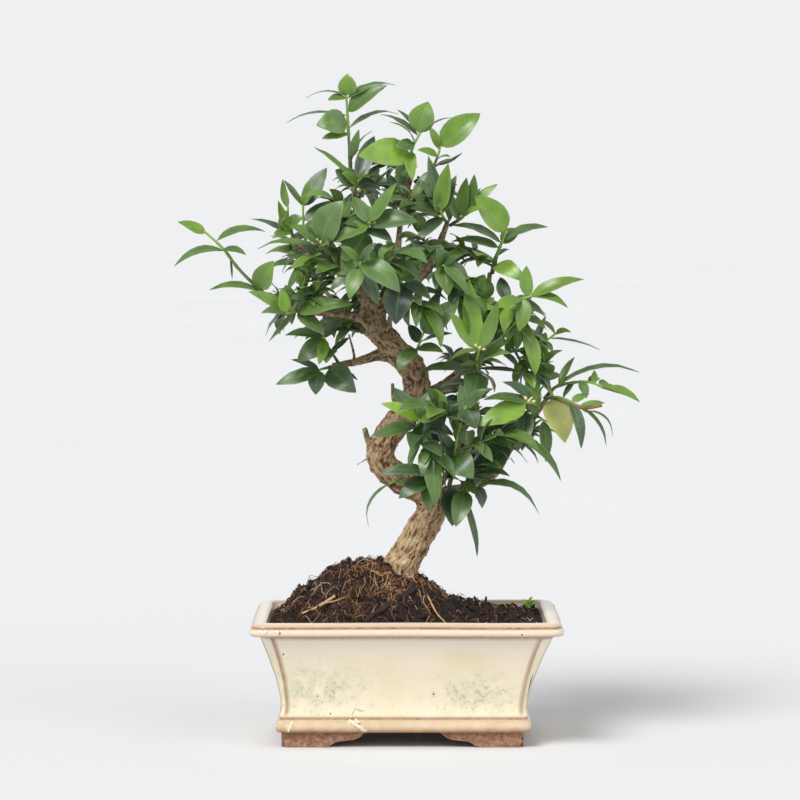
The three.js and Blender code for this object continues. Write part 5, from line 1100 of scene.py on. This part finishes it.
# The pot's outline from the foot roll up over the rim and down inside: inset from the rim's
# outline, height, how thin the glaze is, how much iron shows in it
POT_PROFILE = [
    (22.6, 9.9, 0.0, 1.0), (20.4, 9.9, 0.3, 1.0), (19.4, 10.5, 0.7, 1.0), (18.7, 12.0, 0.1, 0.8),
    (18.5, 14.0, 0.0, 0.5), (18.7, 15.8, 0.0, 0.5), (19.3, 17.3, 0.1, 0.6),
    (20.2, 18.1, 0.5, 0.4), (21.1, 18.5, 1.0, 0.4), (21.2, 19.2, 0.6, 0.2),
    (20.9, 20.4, 0.0, 0.0), (21.0, 23.0, 0.0, 0.0), (21.1, 26.5, 0.0, 0.0), (20.6, 31.0, 0.0, 0.0),
    (19.4, 36.5, 0.0, 0.0), (17.3, 44.5, 0.0, 0.0), (14.8, 51.5, 0.0, 0.0),
    (12.9, 57.0, 0.0, 0.0), (11.1, 61.5, 0.0, 0.0), (9.0, 66.7, 0.0, 0.0), (7.6, 70.2, 0.05, 0.0),
    (6.4, 72.3, 0.7, 0.2), (5.0, 73.2, 1.0, 0.3), (2.4, 73.3, 1.0, 0.4), (0.9, 73.7, 0.5, 0.5),
    (0.2, 74.6, 0.15, 0.35), (0.0, 76.0, 0.0, 0.25), (0.2, 77.4, 0.0, 0.25), (0.8, 78.3, 0.5, 0.3),
    (1.7, 78.7, 1.0, 0.5), (1.9, 79.2, 0.9, 0.6), (2.2, 79.9, 0.3, 0.5), (3.4, 80.8, 0.15, 0.3),
    (5.8, 81.5, 0.0, 0.1), (8.2, 81.7, 0.0, 0.05), (10.0, 81.3, 0.3, 0.2), (10.9, 80.4, 0.5, 0.3),
    (11.3, 78.8, 0.0, 0.0), (12.4, 75.0, 0.0, 0.0), (14.8, 67.0, 0.0, 0.0), (18.9, 57.0, 0.0, 0.0),
    (23.0, 44.5, 0.0, 0.0), (26.0, 30.0, 0.0, 0.0), (27.4, 20.0, 0.0, 0.0), (30.0, 17.0, 0.0, 0.0),
]
CORNER_STEPS, LONG_STEPS, SHORT_STEPS = 10, 56, 40
CHAMFER_TOP, CHAMFER_FOOT = 7.5, 4.0  # width of the walls' cut corners
EDGE_WIDTH = 0.8  # reach of the thin glaze to each side of an edge
POT_EDGE_ANGLE = math.radians(38)  # the pot's edges that turn more are crisp


def rounded_outlines(insets, heights):
    """Rounded rectangles, one row for each inset: straight sides and quarter circles. On the
    walls the quarter circles are pressed flat, which leaves a cut corner with two edges.
    Also how near each point is to such an edge, from 0 to 1."""
    insets, heights = np.asarray(insets, float), np.asarray(heights, float)
    on_wall = smooth_step(heights, 19.5, 23.5) * (1 - smooth_step(heights, 70.5, 73.0))
    wall_corner = CHAMFER_FOOT + (CHAMFER_TOP - CHAMFER_FOOT) * smooth_step(heights, 26, 72)
    plain = np.maximum(LEAST_CORNER, RIM_CORNER - 0.3 * insets)
    corner = (plain + (wall_corner - plain) * on_wall)[:, None]
    flat = (0.8 * on_wall)[:, None]
    dx = (POT_LENGTH / 2 - insets)[:, None] - corner
    dy = (POT_WIDTH / 2 - insets)[:, None] - corner
    share = np.linspace(0, 1, CORNER_STEPS + 1)[None, :]
    arcs = []
    for quarter, (sx, sy) in enumerate(((1, -1), (1, 1), (-1, 1), (-1, -1))):
        angle = (quarter - 1 + share) * math.pi / 2
        arc = np.stack([np.cos(angle), np.sin(angle)], -1)
        chord = arc[:, :1] + (arc[:, -1:] - arc[:, :1]) * share[..., None]
        bend = arc + (chord - arc) * flat[..., None]
        arcs.append(np.stack([sx * dx, sy * dy], -1) + corner[..., None] * bend)
    gaps = (share * corner, (1 - share) * corner)
    corner_edge = sum(np.exp(-((gap / EDGE_WIDTH) ** 2)) for gap in gaps)
    rows, edges = [], []
    for quarter, steps in enumerate((SHORT_STEPS, LONG_STEPS) * 2):
        last, first = arcs[quarter][:, -1:], arcs[(quarter + 1) % 4][:, :1]
        side = np.linspace(0, 1, steps + 1)[1:-1][None, :, None]
        gap = np.linalg.norm((first - last) * np.minimum(side, 1 - side), axis=-1)
        rows += [arcs[quarter], last + (first - last) * side]
        edges += [corner_edge, np.exp(-((gap / EDGE_WIDTH) ** 2))]
    return np.concatenate(rows, axis=1), np.concatenate(edges, axis=1) * on_wall[:, None]


def eased(profile, steps):
    """A profile's rows with a smooth curve through them: the same Catmull-Rom curve as the
    stems', in two dimensions, with the glaze values interpolated."""
    rows = np.array(profile, float)
    t = np.linspace(0, 1, (len(rows) - 1) * steps + 1)
    flat = np.column_stack([rows[:, :2], np.zeros(len(rows))])
    smooth = curve_at(flat, t)[:, :2]
    spans = t * (len(rows) - 1)
    rest = [np.interp(spans, np.arange(len(rows)), rows[:, k]) for k in (2, 3)]
    return np.column_stack([smooth, *rest])


def pot_shell():
    """The pot's body: the eased profile carried round the rounded rectangle, moved a little by
    slow waves as a hand-pressed pot is, and closed by a floor above and below."""
    rows = eased(POT_PROFILE, 3)
    insets, heights = rows[:, 0], rows[:, 1]
    plan, edge = rounded_outlines(insets, heights)
    columns = plan.shape[1]
    shift = BASE_SHIFT * (1 - np.minimum(1, heights / RIM_SKIRT))
    level = np.broadcast_to(heights[:, None], plan.shape[:2])
    points = np.stack([plan[..., 0] + shift[:, None], plan[..., 1], level], -1)
    outward = unit(plan)
    wobble = noise(points, 45.0, 21) - 0.5 + 0.4 * (noise(points, 14.0, 22) - 0.5)
    depth = np.where(insets < 22, 0.9, 0.0)[:, None]
    points[..., :2] += outward * (wobble * depth)[..., None]
    points[..., 2] += (noise(points, 60.0, 23) - 0.5) * 0.7 * smooth_step(heights, 60, 78)[:, None]
    thin = np.clip(rows[:, 2:3] + 0.7 * edge * (0.35 + noise(points, 20.0, 25)), 0, 1)
    iron = np.clip(rows[:, 3:4] + 0.5 * edge, 0, 1)
    flat = points.reshape(-1, 3)
    under = len(flat)
    centre = np.array([[BASE_SHIFT, 0, FOOT_HEIGHT], [BASE_SHIFT, 0, FLOOR_TOP]])
    faces = grid_faces(len(rows), columns, True).tolist()
    last = (len(rows) - 1) * columns
    faces += [[(k + 1) % columns, k, under] for k in range(columns)]
    faces += [[last + k, last + (k + 1) % columns, under + 1] for k in range(columns)]
    flat = np.vstack([flat, centre])
    return {"points": flat, "faces": faces, "values": {
        "glaze_thin": np.append(thin.ravel(), [0, 0]),
        "glaze_iron": np.append(np.broadcast_to(iron, thin.shape).ravel(), [0, 0]),
        "mineral": mineral_share(flat),
        "milky": milky_share(flat),
    }}


def mineral_share(points):
    """Where greenish specks gather: in two cloudy patches low on each long wall."""
    x, z = points[:, 0], points[:, 2]
    left = 1.3 * np.exp(-(((x + 56) / 30) ** 2) - ((z - 36) / 16) ** 2)
    right = 1.3 * np.exp(-(((x - 44) / 27) ** 2) - ((z - 33) / 13) ** 2)
    rim = 0.9 * np.exp(-(((x - 52) / 14) ** 2) - ((z - 74) / 1.5) ** 2)
    on_wall = (z > 19) & (z < 79)
    return np.clip(left + right + rim, 0, 1) * on_wall


def milky_share(points):
    """The thicker, paler glaze under the rim, with a wavy lower edge."""
    x, z = points[:, 0], points[:, 2]
    edge = 60 + 2.5 * np.sin(x / 17) + 3.5 * noise(points, 26.0, 24)
    return smooth_step(z, edge - 3, edge + 1.5) * (z < 79) + (z >= 79) * 0.7


def foot_arm(length, outer):
    """Side view of one arm of a bracket foot: flat sole, then an ogee up to the base, as
    (distance from the pot's middle, height)."""
    sole = length - 24.0
    rise = [
        (0, FOOT_HEIGHT + 1.0), (0.2, FOOT_HEIGHT), (1.4, 4.5), (2.3, 0.6), (2.9, 0), (sole - 0.8, 0),
        (sole + 0.6, 0.3), (sole + 1.9, 1.4), (sole + 3.8, 2.9), (sole + 6.3, 3.7),
        (sole + 11.4, 4.3), (sole + 17.0, 5.0), (sole + 20.0, 6.3), (sole + 22.4, 8.4),
        (length, FOOT_HEIGHT), (length, FOOT_HEIGHT + 1.0),
    ]
    return np.array([(outer - d, z) for d, z in rise])


def prism(outline, low, high, axis, sign):
    """An outline carried straight from low to high, with its rims drawn in a little so that
    the edges look rounded: four copies of the outline, the outer two smaller."""
    centre = np.array([outline[:, 0].mean(), FOOT_HEIGHT])
    layers = []
    depths = ((low, 0.985), (low + 0.5, 1.0), (high - 0.5, 1.0), (high, 0.985))
    for depth, shrink in depths:
        ring = centre + (outline - centre) * shrink
        ring[:, 1] = np.maximum(ring[:, 1], 0)
        along = np.full(len(ring), depth)
        pair = [ring[:, 0] * sign, along] if axis == 0 else [along, ring[:, 0] * sign]
        layers.append(np.stack([*pair, ring[:, 1]], -1))
    count = len(outline)
    faces = grid_faces(4, count, True).tolist()
    faces += [list(range(count))[::-1], [3 * count + k for k in range(count)]]
    points = np.concatenate(layers)
    points[:, 0] += BASE_SHIFT
    return {"points": points, "faces": faces, "values": {}}


def node_marks():
    """The bamboo-like ornament of the foot roll and rim: short ridges, a knob and small twigs
    pressed on as thin rolls of clay. Each is a line with its radii."""
    front = ROLL_INSET - POT_WIDTH / 2
    marks = [
        ([[-75.5, front - 0.3, 10.6], [-74.2, front - 0.9, 13.6], [-72.6, front - 0.2, 17.4]], 0.9),
        ([[-36.5, front + 0.6, 18.4], [-34.0, front - 0.7, 16.2], [-29.5, front - 1.0, 13.4],
          [-26.5, front - 0.2, 10.8]], 1.15),
        ([[-32.6, front + 0.6, 18.8], [-31.2, front - 1.0, 16.8], [-29.6, front + 0.3, 17.6]], 1.0),
        ([[-35.4, front + 1.7, 19.2], [-35.0, front + 1.8, 22.5], [-33.0, front + 1.9, 25.6]], 0.6),
        ([[-33.0, front + 1.9, 26.8], [-30.4, front + 1.7, 25.2], [-27.6, front + 1.9, 24.2]], 0.75),
        ([[-82.5, -72.2, 74.5], [-81.6, -73.0, 76.3], [-80.6, -72.2, 78.0]], 1.1),
        ([[-90.5, -71.8, 75.4], [-89.2, -72.3, 76.6], [-88.0, -71.9, 77.8]], 0.9),
    ]
    t = np.linspace(0, 1, 14)
    taper = np.sqrt(np.maximum(np.sin(math.pi * (0.06 + 0.88 * t)), 0.05))
    glaze = {"glaze_iron": 0.15, "milky": 0.8}
    return [tube(even_places(line, t), radius * taper, 10, glaze) for line, radius in marks]


def feet():
    """Four bracket feet, each of a long arm below the front or back and a short arm below a
    side, which cross at the corner."""
    made = []
    outer_x, outer_y = POT_LENGTH / 2 - FOOT_INSET, POT_WIDTH / 2 - FOOT_INSET
    for sx in (-1, 1):
        for sy in (-1, 1):
            long_depths = sorted((sy * outer_y, sy * (outer_y - FOOT_THICKNESS)))
            short_depths = sorted((sx * outer_x, sx * (outer_x - FOOT_THICKNESS)))
            made.append(prism(foot_arm(FOOT_ARM_LONG, outer_x), *long_depths, 0, sx))
            made.append(prism(foot_arm(FOOT_ARM_SHORT, outer_y), *short_depths, 1, sy))
    return made


def bore(made, x):
    """Cuts a drain hole through the pot's floor, with a straight drill as wide as the hole."""
    drill = shown("drill", mesh_from("drill", tube([[x, 0, 8], [x, 0, 19]], DRAIN_RADIUS, 40)))
    cut = made.modifiers.new("drain_hole", "BOOLEAN")
    cut.operation = "DIFFERENCE"
    cut.solver = "EXACT"
    cut.use_self = True
    cut.object = drill
    bored = evaluated_mesh(made)
    made.modifiers.clear()
    made.data = bored
    bpy.data.objects.remove(drill)


def make_pot():
    """Body, feet and ornament joined in one mesh. The drain holes are cut last, and then all
    below the foot roll is unglazed."""
    mesh = mesh_from("glazed_pot", joined([pot_shell()] + feet() + node_marks()))
    turn_outward(mesh)
    made = piece("glazed_pot", mesh, [GLAZE], ["pot"])
    for side in (-1, 1):
        bore(made, side * DRAIN_OFFSET)
    bored = made.data
    places = np.empty(3 * len(bored.vertices))
    bored.vertices.foreach_get("co", places)
    bare = places[2::3] < (FOOT_HEIGHT + 0.1) * MM
    layer = bored.attributes.new("bare_clay", "FLOAT", "POINT")
    layer.data.foreach_set("value", bare.astype(float))
    bored.polygons.foreach_set("use_smooth", [True] * len(bored.polygons))
    bored.set_sharp_from_angle(angle=POT_EDGE_ANGLE)


# Soil and what lies on it

OPENING = 11.0  # from the rim's outline to the pot's inner wall at the soil's height
SKIRT_TOP, SKIRT_SLOPE = 12.3, 14.0  # the soil's skirt: its inset, and how far it draws in below
LITTER_X, LITTER_Y = 86.0, 58.0  # how far from the pot's middle crumbs and fibres start
FIBRE_X, FIBRE_Y = 86.5, 59.5  # and how far a fibre may run
FIBRE_STEPS, FIBRE_SIDES = 7, 4

# Fibres by kind: low and high of the length, the radius, the lift in the middle, the tone and
# the waviness, some with a power and a factor
DARK_ROOT = ((4, 14), (0.1, 0.22), (0, 2.4, 1.4, 0.6), (0.02, 0.4), (0.1, 0.7))
RUST_ROOT = ((4, 15), (0.09, 0.22), (0, 2.2), (0.3, 0.8), (0.1, 0.8))
TAN_ROOT = ((10, 30), (0.16, 0.36), (0.2, 2.0), (0.55, 0.92), (0.2, 0.9))
LOOSE_ROOT = ((5, 16), (0.1, 0.2), (1.0, 4.5), (0.3, 0.95), (0.1, 0.7))
CHIP = ((1.5, 4.5), (0.2, 0.5), (0.1, 1.2), (0.05, 0.8, 1.6), (0, 0.4))


def to_wall(x, y, inset):
    """How far places lie inside a rectangle that is inset from the rim's outline."""
    return np.minimum(POT_LENGTH / 2 - inset - np.abs(x), POT_WIDTH / 2 - inset - np.abs(y))


def soil_height(x, y):
    """A bell along the pot times a squared cosine across it, dying away at the wall."""
    spread = np.where(x < MOUND_X, MOUND_LEFT, MOUND_RIGHT)
    along = np.exp(-(((x - MOUND_X) / spread) ** 2))
    across = np.cos(math.pi / 2 * np.minimum(1, np.abs(y) / MOUND_DEPTH)) ** 2
    edge = to_wall(x, y, SOIL_INSET)
    return SOIL_EDGE + MOUND_HEIGHT * along * across * smooth_step(edge, 0, MOUND_MARGIN)


def rough_soil(x, y):
    """The mound with its clods: noise of three sizes."""
    flat = np.stack([x, y, np.zeros_like(x)], -1)
    clod = 8.0 * (noise(flat, 10.0, 31) - 0.5) + 5.6 * (noise(flat, 4.2, 32) - 0.5)
    clod = clod + 2.6 * (noise(flat, 1.9, 33) - 0.5)
    edge = to_wall(x, y, OPENING)
    return soil_height(x, y) + clod * (0.35 + 0.65 * smooth_step(edge, 0, 12)) - 0.4


def make_soil():
    """A height field over the pot's opening, closed by a skirt and a floor inside the pot."""
    half_x, half_y = POT_LENGTH / 2 - SKIRT_TOP, POT_WIDTH / 2 - SKIRT_TOP
    columns, rows = 216, 148
    x, y = np.meshgrid(np.linspace(-half_x, half_x, columns), np.linspace(-half_y, half_y, rows))
    top = np.stack([x, y, rough_soil(x, y)], -1).reshape(-1, 3)
    faces = grid_faces(rows, columns, False).tolist()
    border = np.concatenate([
        np.arange(columns), columns * np.arange(1, rows) + columns - 1,
        (rows - 1) * columns + np.arange(columns - 2, -1, -1), columns * np.arange(rows - 2, 0, -1)])
    rim = top[border]
    wall = rim.copy()
    wall[:, :2] *= [(half_x - SKIRT_SLOPE) / half_x, (half_y - SKIRT_SLOPE) / half_y]
    wall[:, 2] = FLOOR_TOP + 2
    low = len(top) + np.arange(len(border))
    skirt = np.stack([border, low, np.roll(low, -1), np.roll(border, -1)], -1)
    faces += skirt.tolist() + [low.tolist()[::-1]]
    mound = {"points": np.vstack([top, wall]), "faces": faces, "values": {}}
    piece("soil_mound", mesh_from("soil_mound", mound), [PEAT], ["soil"])


def scatter_on_mound(count):
    """Random places on the soil, thicker on the mound's slopes."""
    x = rng.uniform(-LITTER_X, LITTER_X, count * 2)
    y = rng.uniform(-LITTER_Y, LITTER_Y, count * 2)
    share = 0.5 + 0.65 * (soil_height(x, y) - SOIL_EDGE) / MOUND_HEIGHT
    keep = rng.uniform(0, 1, count * 2) < share
    return x[keep][:count], y[keep][:count]


def make_crumbs():
    """Crumbs of peat: small rough lumps half sunk in the soil, each a cube's six faces swollen
    and shaken by noise."""
    x, y = scatter_on_mound(3600)
    count = len(x)
    size = 0.4 + 1.7 * rng.random(count) ** 3
    corners = np.array([[i, j, k] for i in (-1, 1) for j in (-1, 1) for k in (-1, 1)], float) * 0.72
    hubs = np.array([[1, 0, 0], [-1, 0, 0], [0, 1, 0], [0, -1, 0], [0, 0, 1], [0, 0, -1]], float)
    shape = np.vstack([corners, hubs * 1.05])
    sides = {8: (4, 5, 7, 6), 9: (0, 2, 3, 1), 10: (2, 6, 7, 3), 11: (0, 1, 5, 4), 12: (1, 3, 7, 5),
             13: (0, 4, 6, 2)}
    fans = [[ring[k], ring[(k + 1) % 4], hub] for hub, ring in sides.items() for k in range(4)]
    jitter = rng.uniform(0.5, 1.35, (count, len(shape), 1))
    spin = rng.uniform(0, math.pi, count)
    lump = shape[None] * jitter * size[:, None, None] * [1.0, 0.8, 0.75]
    turned = np.stack([
        lump[..., 0] * np.cos(spin)[:, None] - lump[..., 1] * np.sin(spin)[:, None],
        lump[..., 0] * np.sin(spin)[:, None] + lump[..., 1] * np.cos(spin)[:, None],
        lump[..., 2]], -1)
    centre = np.stack([x, y, rough_soil(x, y) + 0.25 * size], -1)
    points = (turned + centre[:, None]).reshape(-1, 3)
    faces = [[v + n * len(shape) for v in f] for n in range(count) for f in fans]
    mesh = mesh_from("peat_crumbs", {"points": points, "faces": faces, "values": {}})
    turn_outward(mesh)
    piece("peat_crumbs", mesh, [PEAT])


def drawn(count, low, high, power=1.0, factor=1.0):
    """Random numbers: even ones from low to high, raised to a power and multiplied."""
    return rng.uniform(low, high, count) ** power * factor


def fibres(x, y, heading, kind):
    """Thin roots on the soil, one per row: each walks from its start with a heading that
    drifts as a slow sine, follows the rough soil's height, and arches clear of it by a lift
    in its middle. Its section is a square that narrows to its ends."""
    count = len(x)
    length, radius, lift, tone, bend = (drawn(count, *limits) for limits in kind)
    t = np.linspace(0, 1, FIBRE_STEPS)[None, :]
    phase = rng.uniform(0, FULL_TURN, (count, 1))
    course = heading[:, None] + bend[:, None] * (np.sin(4.5 * t + phase) - np.sin(phase))
    step = length[:, None] / (FIBRE_STEPS - 1)
    px = x[:, None] + np.cumsum(np.cos(course) * step, axis=1)
    py = y[:, None] + np.cumsum(np.sin(course) * step, axis=1)
    px = np.clip(px, -FIBRE_X, FIBRE_X)
    py = np.clip(py, -FIBRE_Y, FIBRE_Y)
    hump = np.sin(math.pi * t) * lift[:, None]
    pz = rough_soil(px, py) + radius[:, None] * 0.6 + hump
    line = np.stack([px, py, pz], -1)
    tangent = unit(np.gradient(line, axis=1))
    across = unit(np.cross(tangent, [0, 0, 1.0]))
    above = np.cross(across, tangent)
    thick = radius[:, None] * (0.35 + 0.65 * np.sin(math.pi * np.clip(0.12 + 0.76 * t, 0, 1)))
    angle = np.arange(FIBRE_SIDES) * 2 * math.pi / FIBRE_SIDES
    ring = across[:, :, None] * np.cos(angle)[:, None] + above[:, :, None] * np.sin(angle)[:, None]
    points = line[:, :, None] + ring * thick[:, :, None, None]
    quads = grid_faces(FIBRE_STEPS, FIBRE_SIDES, True).tolist()
    last = (FIBRE_STEPS - 1) * FIBRE_SIDES
    one = quads + [[3, 2, 1, 0], [last, last + 1, last + 2, last + 3]]
    size = FIBRE_STEPS * FIBRE_SIDES
    return {
        "points": points.reshape(-1, 3),
        "faces": [[v + n * size for v in f] for n in range(count) for f in one],
        "values": {"fibre_tone": np.repeat(tone, size)},
    }


def make_fibres():
    """The nest of dead roots that binds the mound: dark ones all over, rust-brown ones on the
    mound, tan ones that fan out from the trunk's foot, and loose ones and chips on top."""
    x, y = scatter_on_mound(1700)
    made = [fibres(x, y, drawn(len(x), 0, FULL_TURN), DARK_ROOT)]
    x = rng.normal(-26, 24, 720)
    y = rng.normal(-14, 22, 720)
    made.append(fibres(x, y, drawn(len(x), 0, FULL_TURN), RUST_ROOT))
    turn = drawn(90, 0, FULL_TURN)
    reach = drawn(90, 9, 15)
    x = TRUNK[1][0] + reach * np.cos(turn)
    y = TRUNK[1][1] + reach * np.sin(turn)
    made.append(fibres(x, y, turn + drawn(90, -0.7, 0.7), TAN_ROOT))
    for count, kind in ((240, LOOSE_ROOT), (900, CHIP)):
        x, y = scatter_on_mound(count)
        made.append(fibres(x, y, drawn(len(x), 0, FULL_TURN), kind))
    piece("dead_roots", mesh_from("dead_roots", joined(made)), [FIBRE])


def on_soil(pairs, lift):
    """Points over (x, y) pairs at a lift above the smooth mound."""
    pairs = np.array(pairs, float)
    return np.column_stack([pairs, soil_height(pairs[:, 0], pairs[:, 1]) + lift])


def gnarled(line, ends, sides, tone, seed, rough=0.22):
    """A root or twig: a tube with a radius at each end, shaken by noise."""
    made = tube(line, np.linspace(*ends, len(line)), sides, {"fibre_tone": tone})
    middle = np.repeat(line, sides, axis=0)
    shake = 1 + rough * 2 * (noise(made["points"], 2.2, seed) - 0.5)
    made["points"] = middle + (made["points"] - middle) * shake[:, None]
    return made


def laid(pairs, lift, steps):
    """A smooth line on the mound over (x, y) pairs, a lift above it."""
    return even_places(on_soil(pairs, lift), np.linspace(0, 1, steps))


def litter_piece(name, node, parts):
    """A root or twig on the soil, in place of its own node."""
    piece(name, mesh_from(name, joined(parts)), [FIBRE], [node])


def make_litter():
    """The larger roots and twigs on the soil. A side root or a spur comes second."""
    thick = laid([[6, -18], [2, -26], [-8, -35], [-18, -43], [-27, -50]], 0.9, 50)
    thick[:, :2] += 2.4 * (np.stack([noise(thick, 9.0, 51), noise(thick, 9.0, 52)], -1) - 0.5)
    thick[:, 2] += 1.6 * (noise(thick, 7.0, 53) - 0.5)
    litter_piece("surface_root_bark", "surface_root", [gnarled(thick, (2.9, 1.7), 14, 0.2, 41, 0.4)])
    pale = laid([[8, -10], [14, -24], [19, -38], [26, -54]], 1.6, 44)
    branch = laid([[12, -20], [11, -30], [15, -39], [13, -47]], 1.2, 26)
    litter_piece("pale_root_skin", "pale_root", [
        gnarled(pale, (0.85, 0.4), 8, 0.8, 42), gnarled(branch, (0.5, 0.25), 6, 0.72, 43)])
    dry = laid([[-67, -40], [-57, -37], [-46, -32]], 2.2, 30)
    spur = laid([[-52, -35], [-44, -35], [-38, -33]], 1.8, 18)
    litter_piece("dry_twig_skin", "dry_twig", [
        gnarled(dry, (0.75, 1.1), 8, 0.8, 44), gnarled(spur, (0.7, 0.4), 6, 0.72, 45)])
    foot = np.array([48.0, -3, 79])
    prongs = []
    for k, tip in enumerate(([44.0, -6, 92], [52.0, -2, 91.5], [55.5, -5, 87])):
        middle = (foot + tip) / 2 + [0.8, 0, 0]
        line = even_places(np.array([foot, middle, tip]), np.linspace(0, 1, 16))
        prongs.append(gnarled(line, (1.7, 0.8 - 0.15 * k), 8, 0.22, 46 + k))
    litter_piece("root_stub_bark", "root_stub", prongs)


def make_seedling():
    """A small weed: a thin stem and four rounded leaves."""
    line = np.array([[79.0, 6, 76], [79.5, 6, 79], [80.5, 6, 85]])
    tips = np.array([[75.5, 4, 89], [82, 3, 91], [85, 7, 88], [78.5, 10, 88]])
    base = even_places(line, np.array([0.8, 0.97, 0.9, 0.72]))
    ones = np.ones(4)
    parts = [leaves(base, tips, 3.8 * ones, 0.7 * ones, 45 * ones, np.array([0.95, 1.0, 1.0, 0.9])),
             stem(line, 0.6, np.array([0.75, 0.95]))]
    piece("seedling_plant", mesh_from("seedling_plant", joined(parts)), [LEAF, STEM],
          ["seedling"])


# Floor, lights and camera

FLOOR_REACH = 60000.0  # millimetres to each side


def make_stage():
    """A wide pale floor under a studio's air: pale at the floor's level, so that the floor has
    no visible end, and darker overhead, which leaves the shading to the lamps."""
    material, add, coords = new_material("pale_painted_floor")
    cloud = add("TexNoise", {"Vector": coords, "Scale": 0.8, "Detail": 2.0}, output="Fac")
    colour = add("ValToRGB", {"Fac": cloud}, stops=[(0.3, "#dbdcdd"), (0.7, "#dedfe0")])
    surface = add("BsdfPrincipled", {"Base Color": colour, "Roughness": 0.8,
                                     "Specular IOR Level": 0.15})
    add("OutputMaterial", {"Surface": surface})
    corners = np.array([[-1, -1, 0], [1, -1, 0], [1, 1, 0], [-1, 1, 0]]) * FLOOR_REACH
    sheet = mesh_from("floor", {"points": corners, "faces": [[0, 1, 2, 3]], "values": {}})
    sheet.materials.append(material)
    shown("floor", sheet)
    world = bpy.data.worlds.new("studio_air")
    world.use_nodes = True
    world.node_tree.nodes.clear()
    add = partial(add_node, world.node_tree)
    way = add("TexCoord", output="Generated")
    height = add("SeparateXYZ", {"Vector": way}, output="Z")
    shade = add("ValToRGB", {"Fac": height}, stops=[
        (0.0, "#eff0f2"), (0.2, "#eff0f2"), (0.55, "#b4b5b7"), (1.0, "#a9aaac")])
    air = add("Background", {"Color": shade, "Strength": 1.0})
    add("OutputWorld", {"Surface": air})
    bpy.context.scene.world = world
    bpy.context.scene.view_settings.view_transform = "Standard"


def make_lights():
    """A soft key from the upper left front and a fainter one from the right: very far lamps,
    each as wide in the sky as a softbox."""
    for name, strength, width, height, azimuth in (
        ("key", 2.5, 26.0, 50.0, -125.0), ("fill", 0.6, 40.0, 35.0, -40.0)):
        lamp = bpy.data.lights.new(name, "SUN")
        lamp.energy = strength
        lamp.angle = math.radians(width)
        turned = (math.radians(90 - height), 0, math.radians(azimuth + 90))
        shown(name, lamp).rotation_euler = turned


def make_camera():
    """The photograph's view: level across, a little down, from 2.2 m."""
    camera = bpy.data.cameras.new("camera")
    camera.lens = LENS
    camera.sensor_width = 36.0
    camera.clip_end = 100.0
    holder = shown("camera", camera)
    holder.location = EYE * MM
    holder.rotation_euler = (math.radians(90 - PITCH), 0, 0)
    bpy.context.scene.camera = holder


make_camera()
make_stage()
make_lights()
make_pot()
make_soil()
make_crumbs()
make_fibres()
make_litter()
make_seedling()
make_trunk()
make_front_shoots()
make_rear_shoots()
for drain in ("drain_mesh_left", "drain_mesh_right"):
    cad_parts[drain].data.materials.clear()
    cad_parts[drain].data.materials.append(PLASTIC)
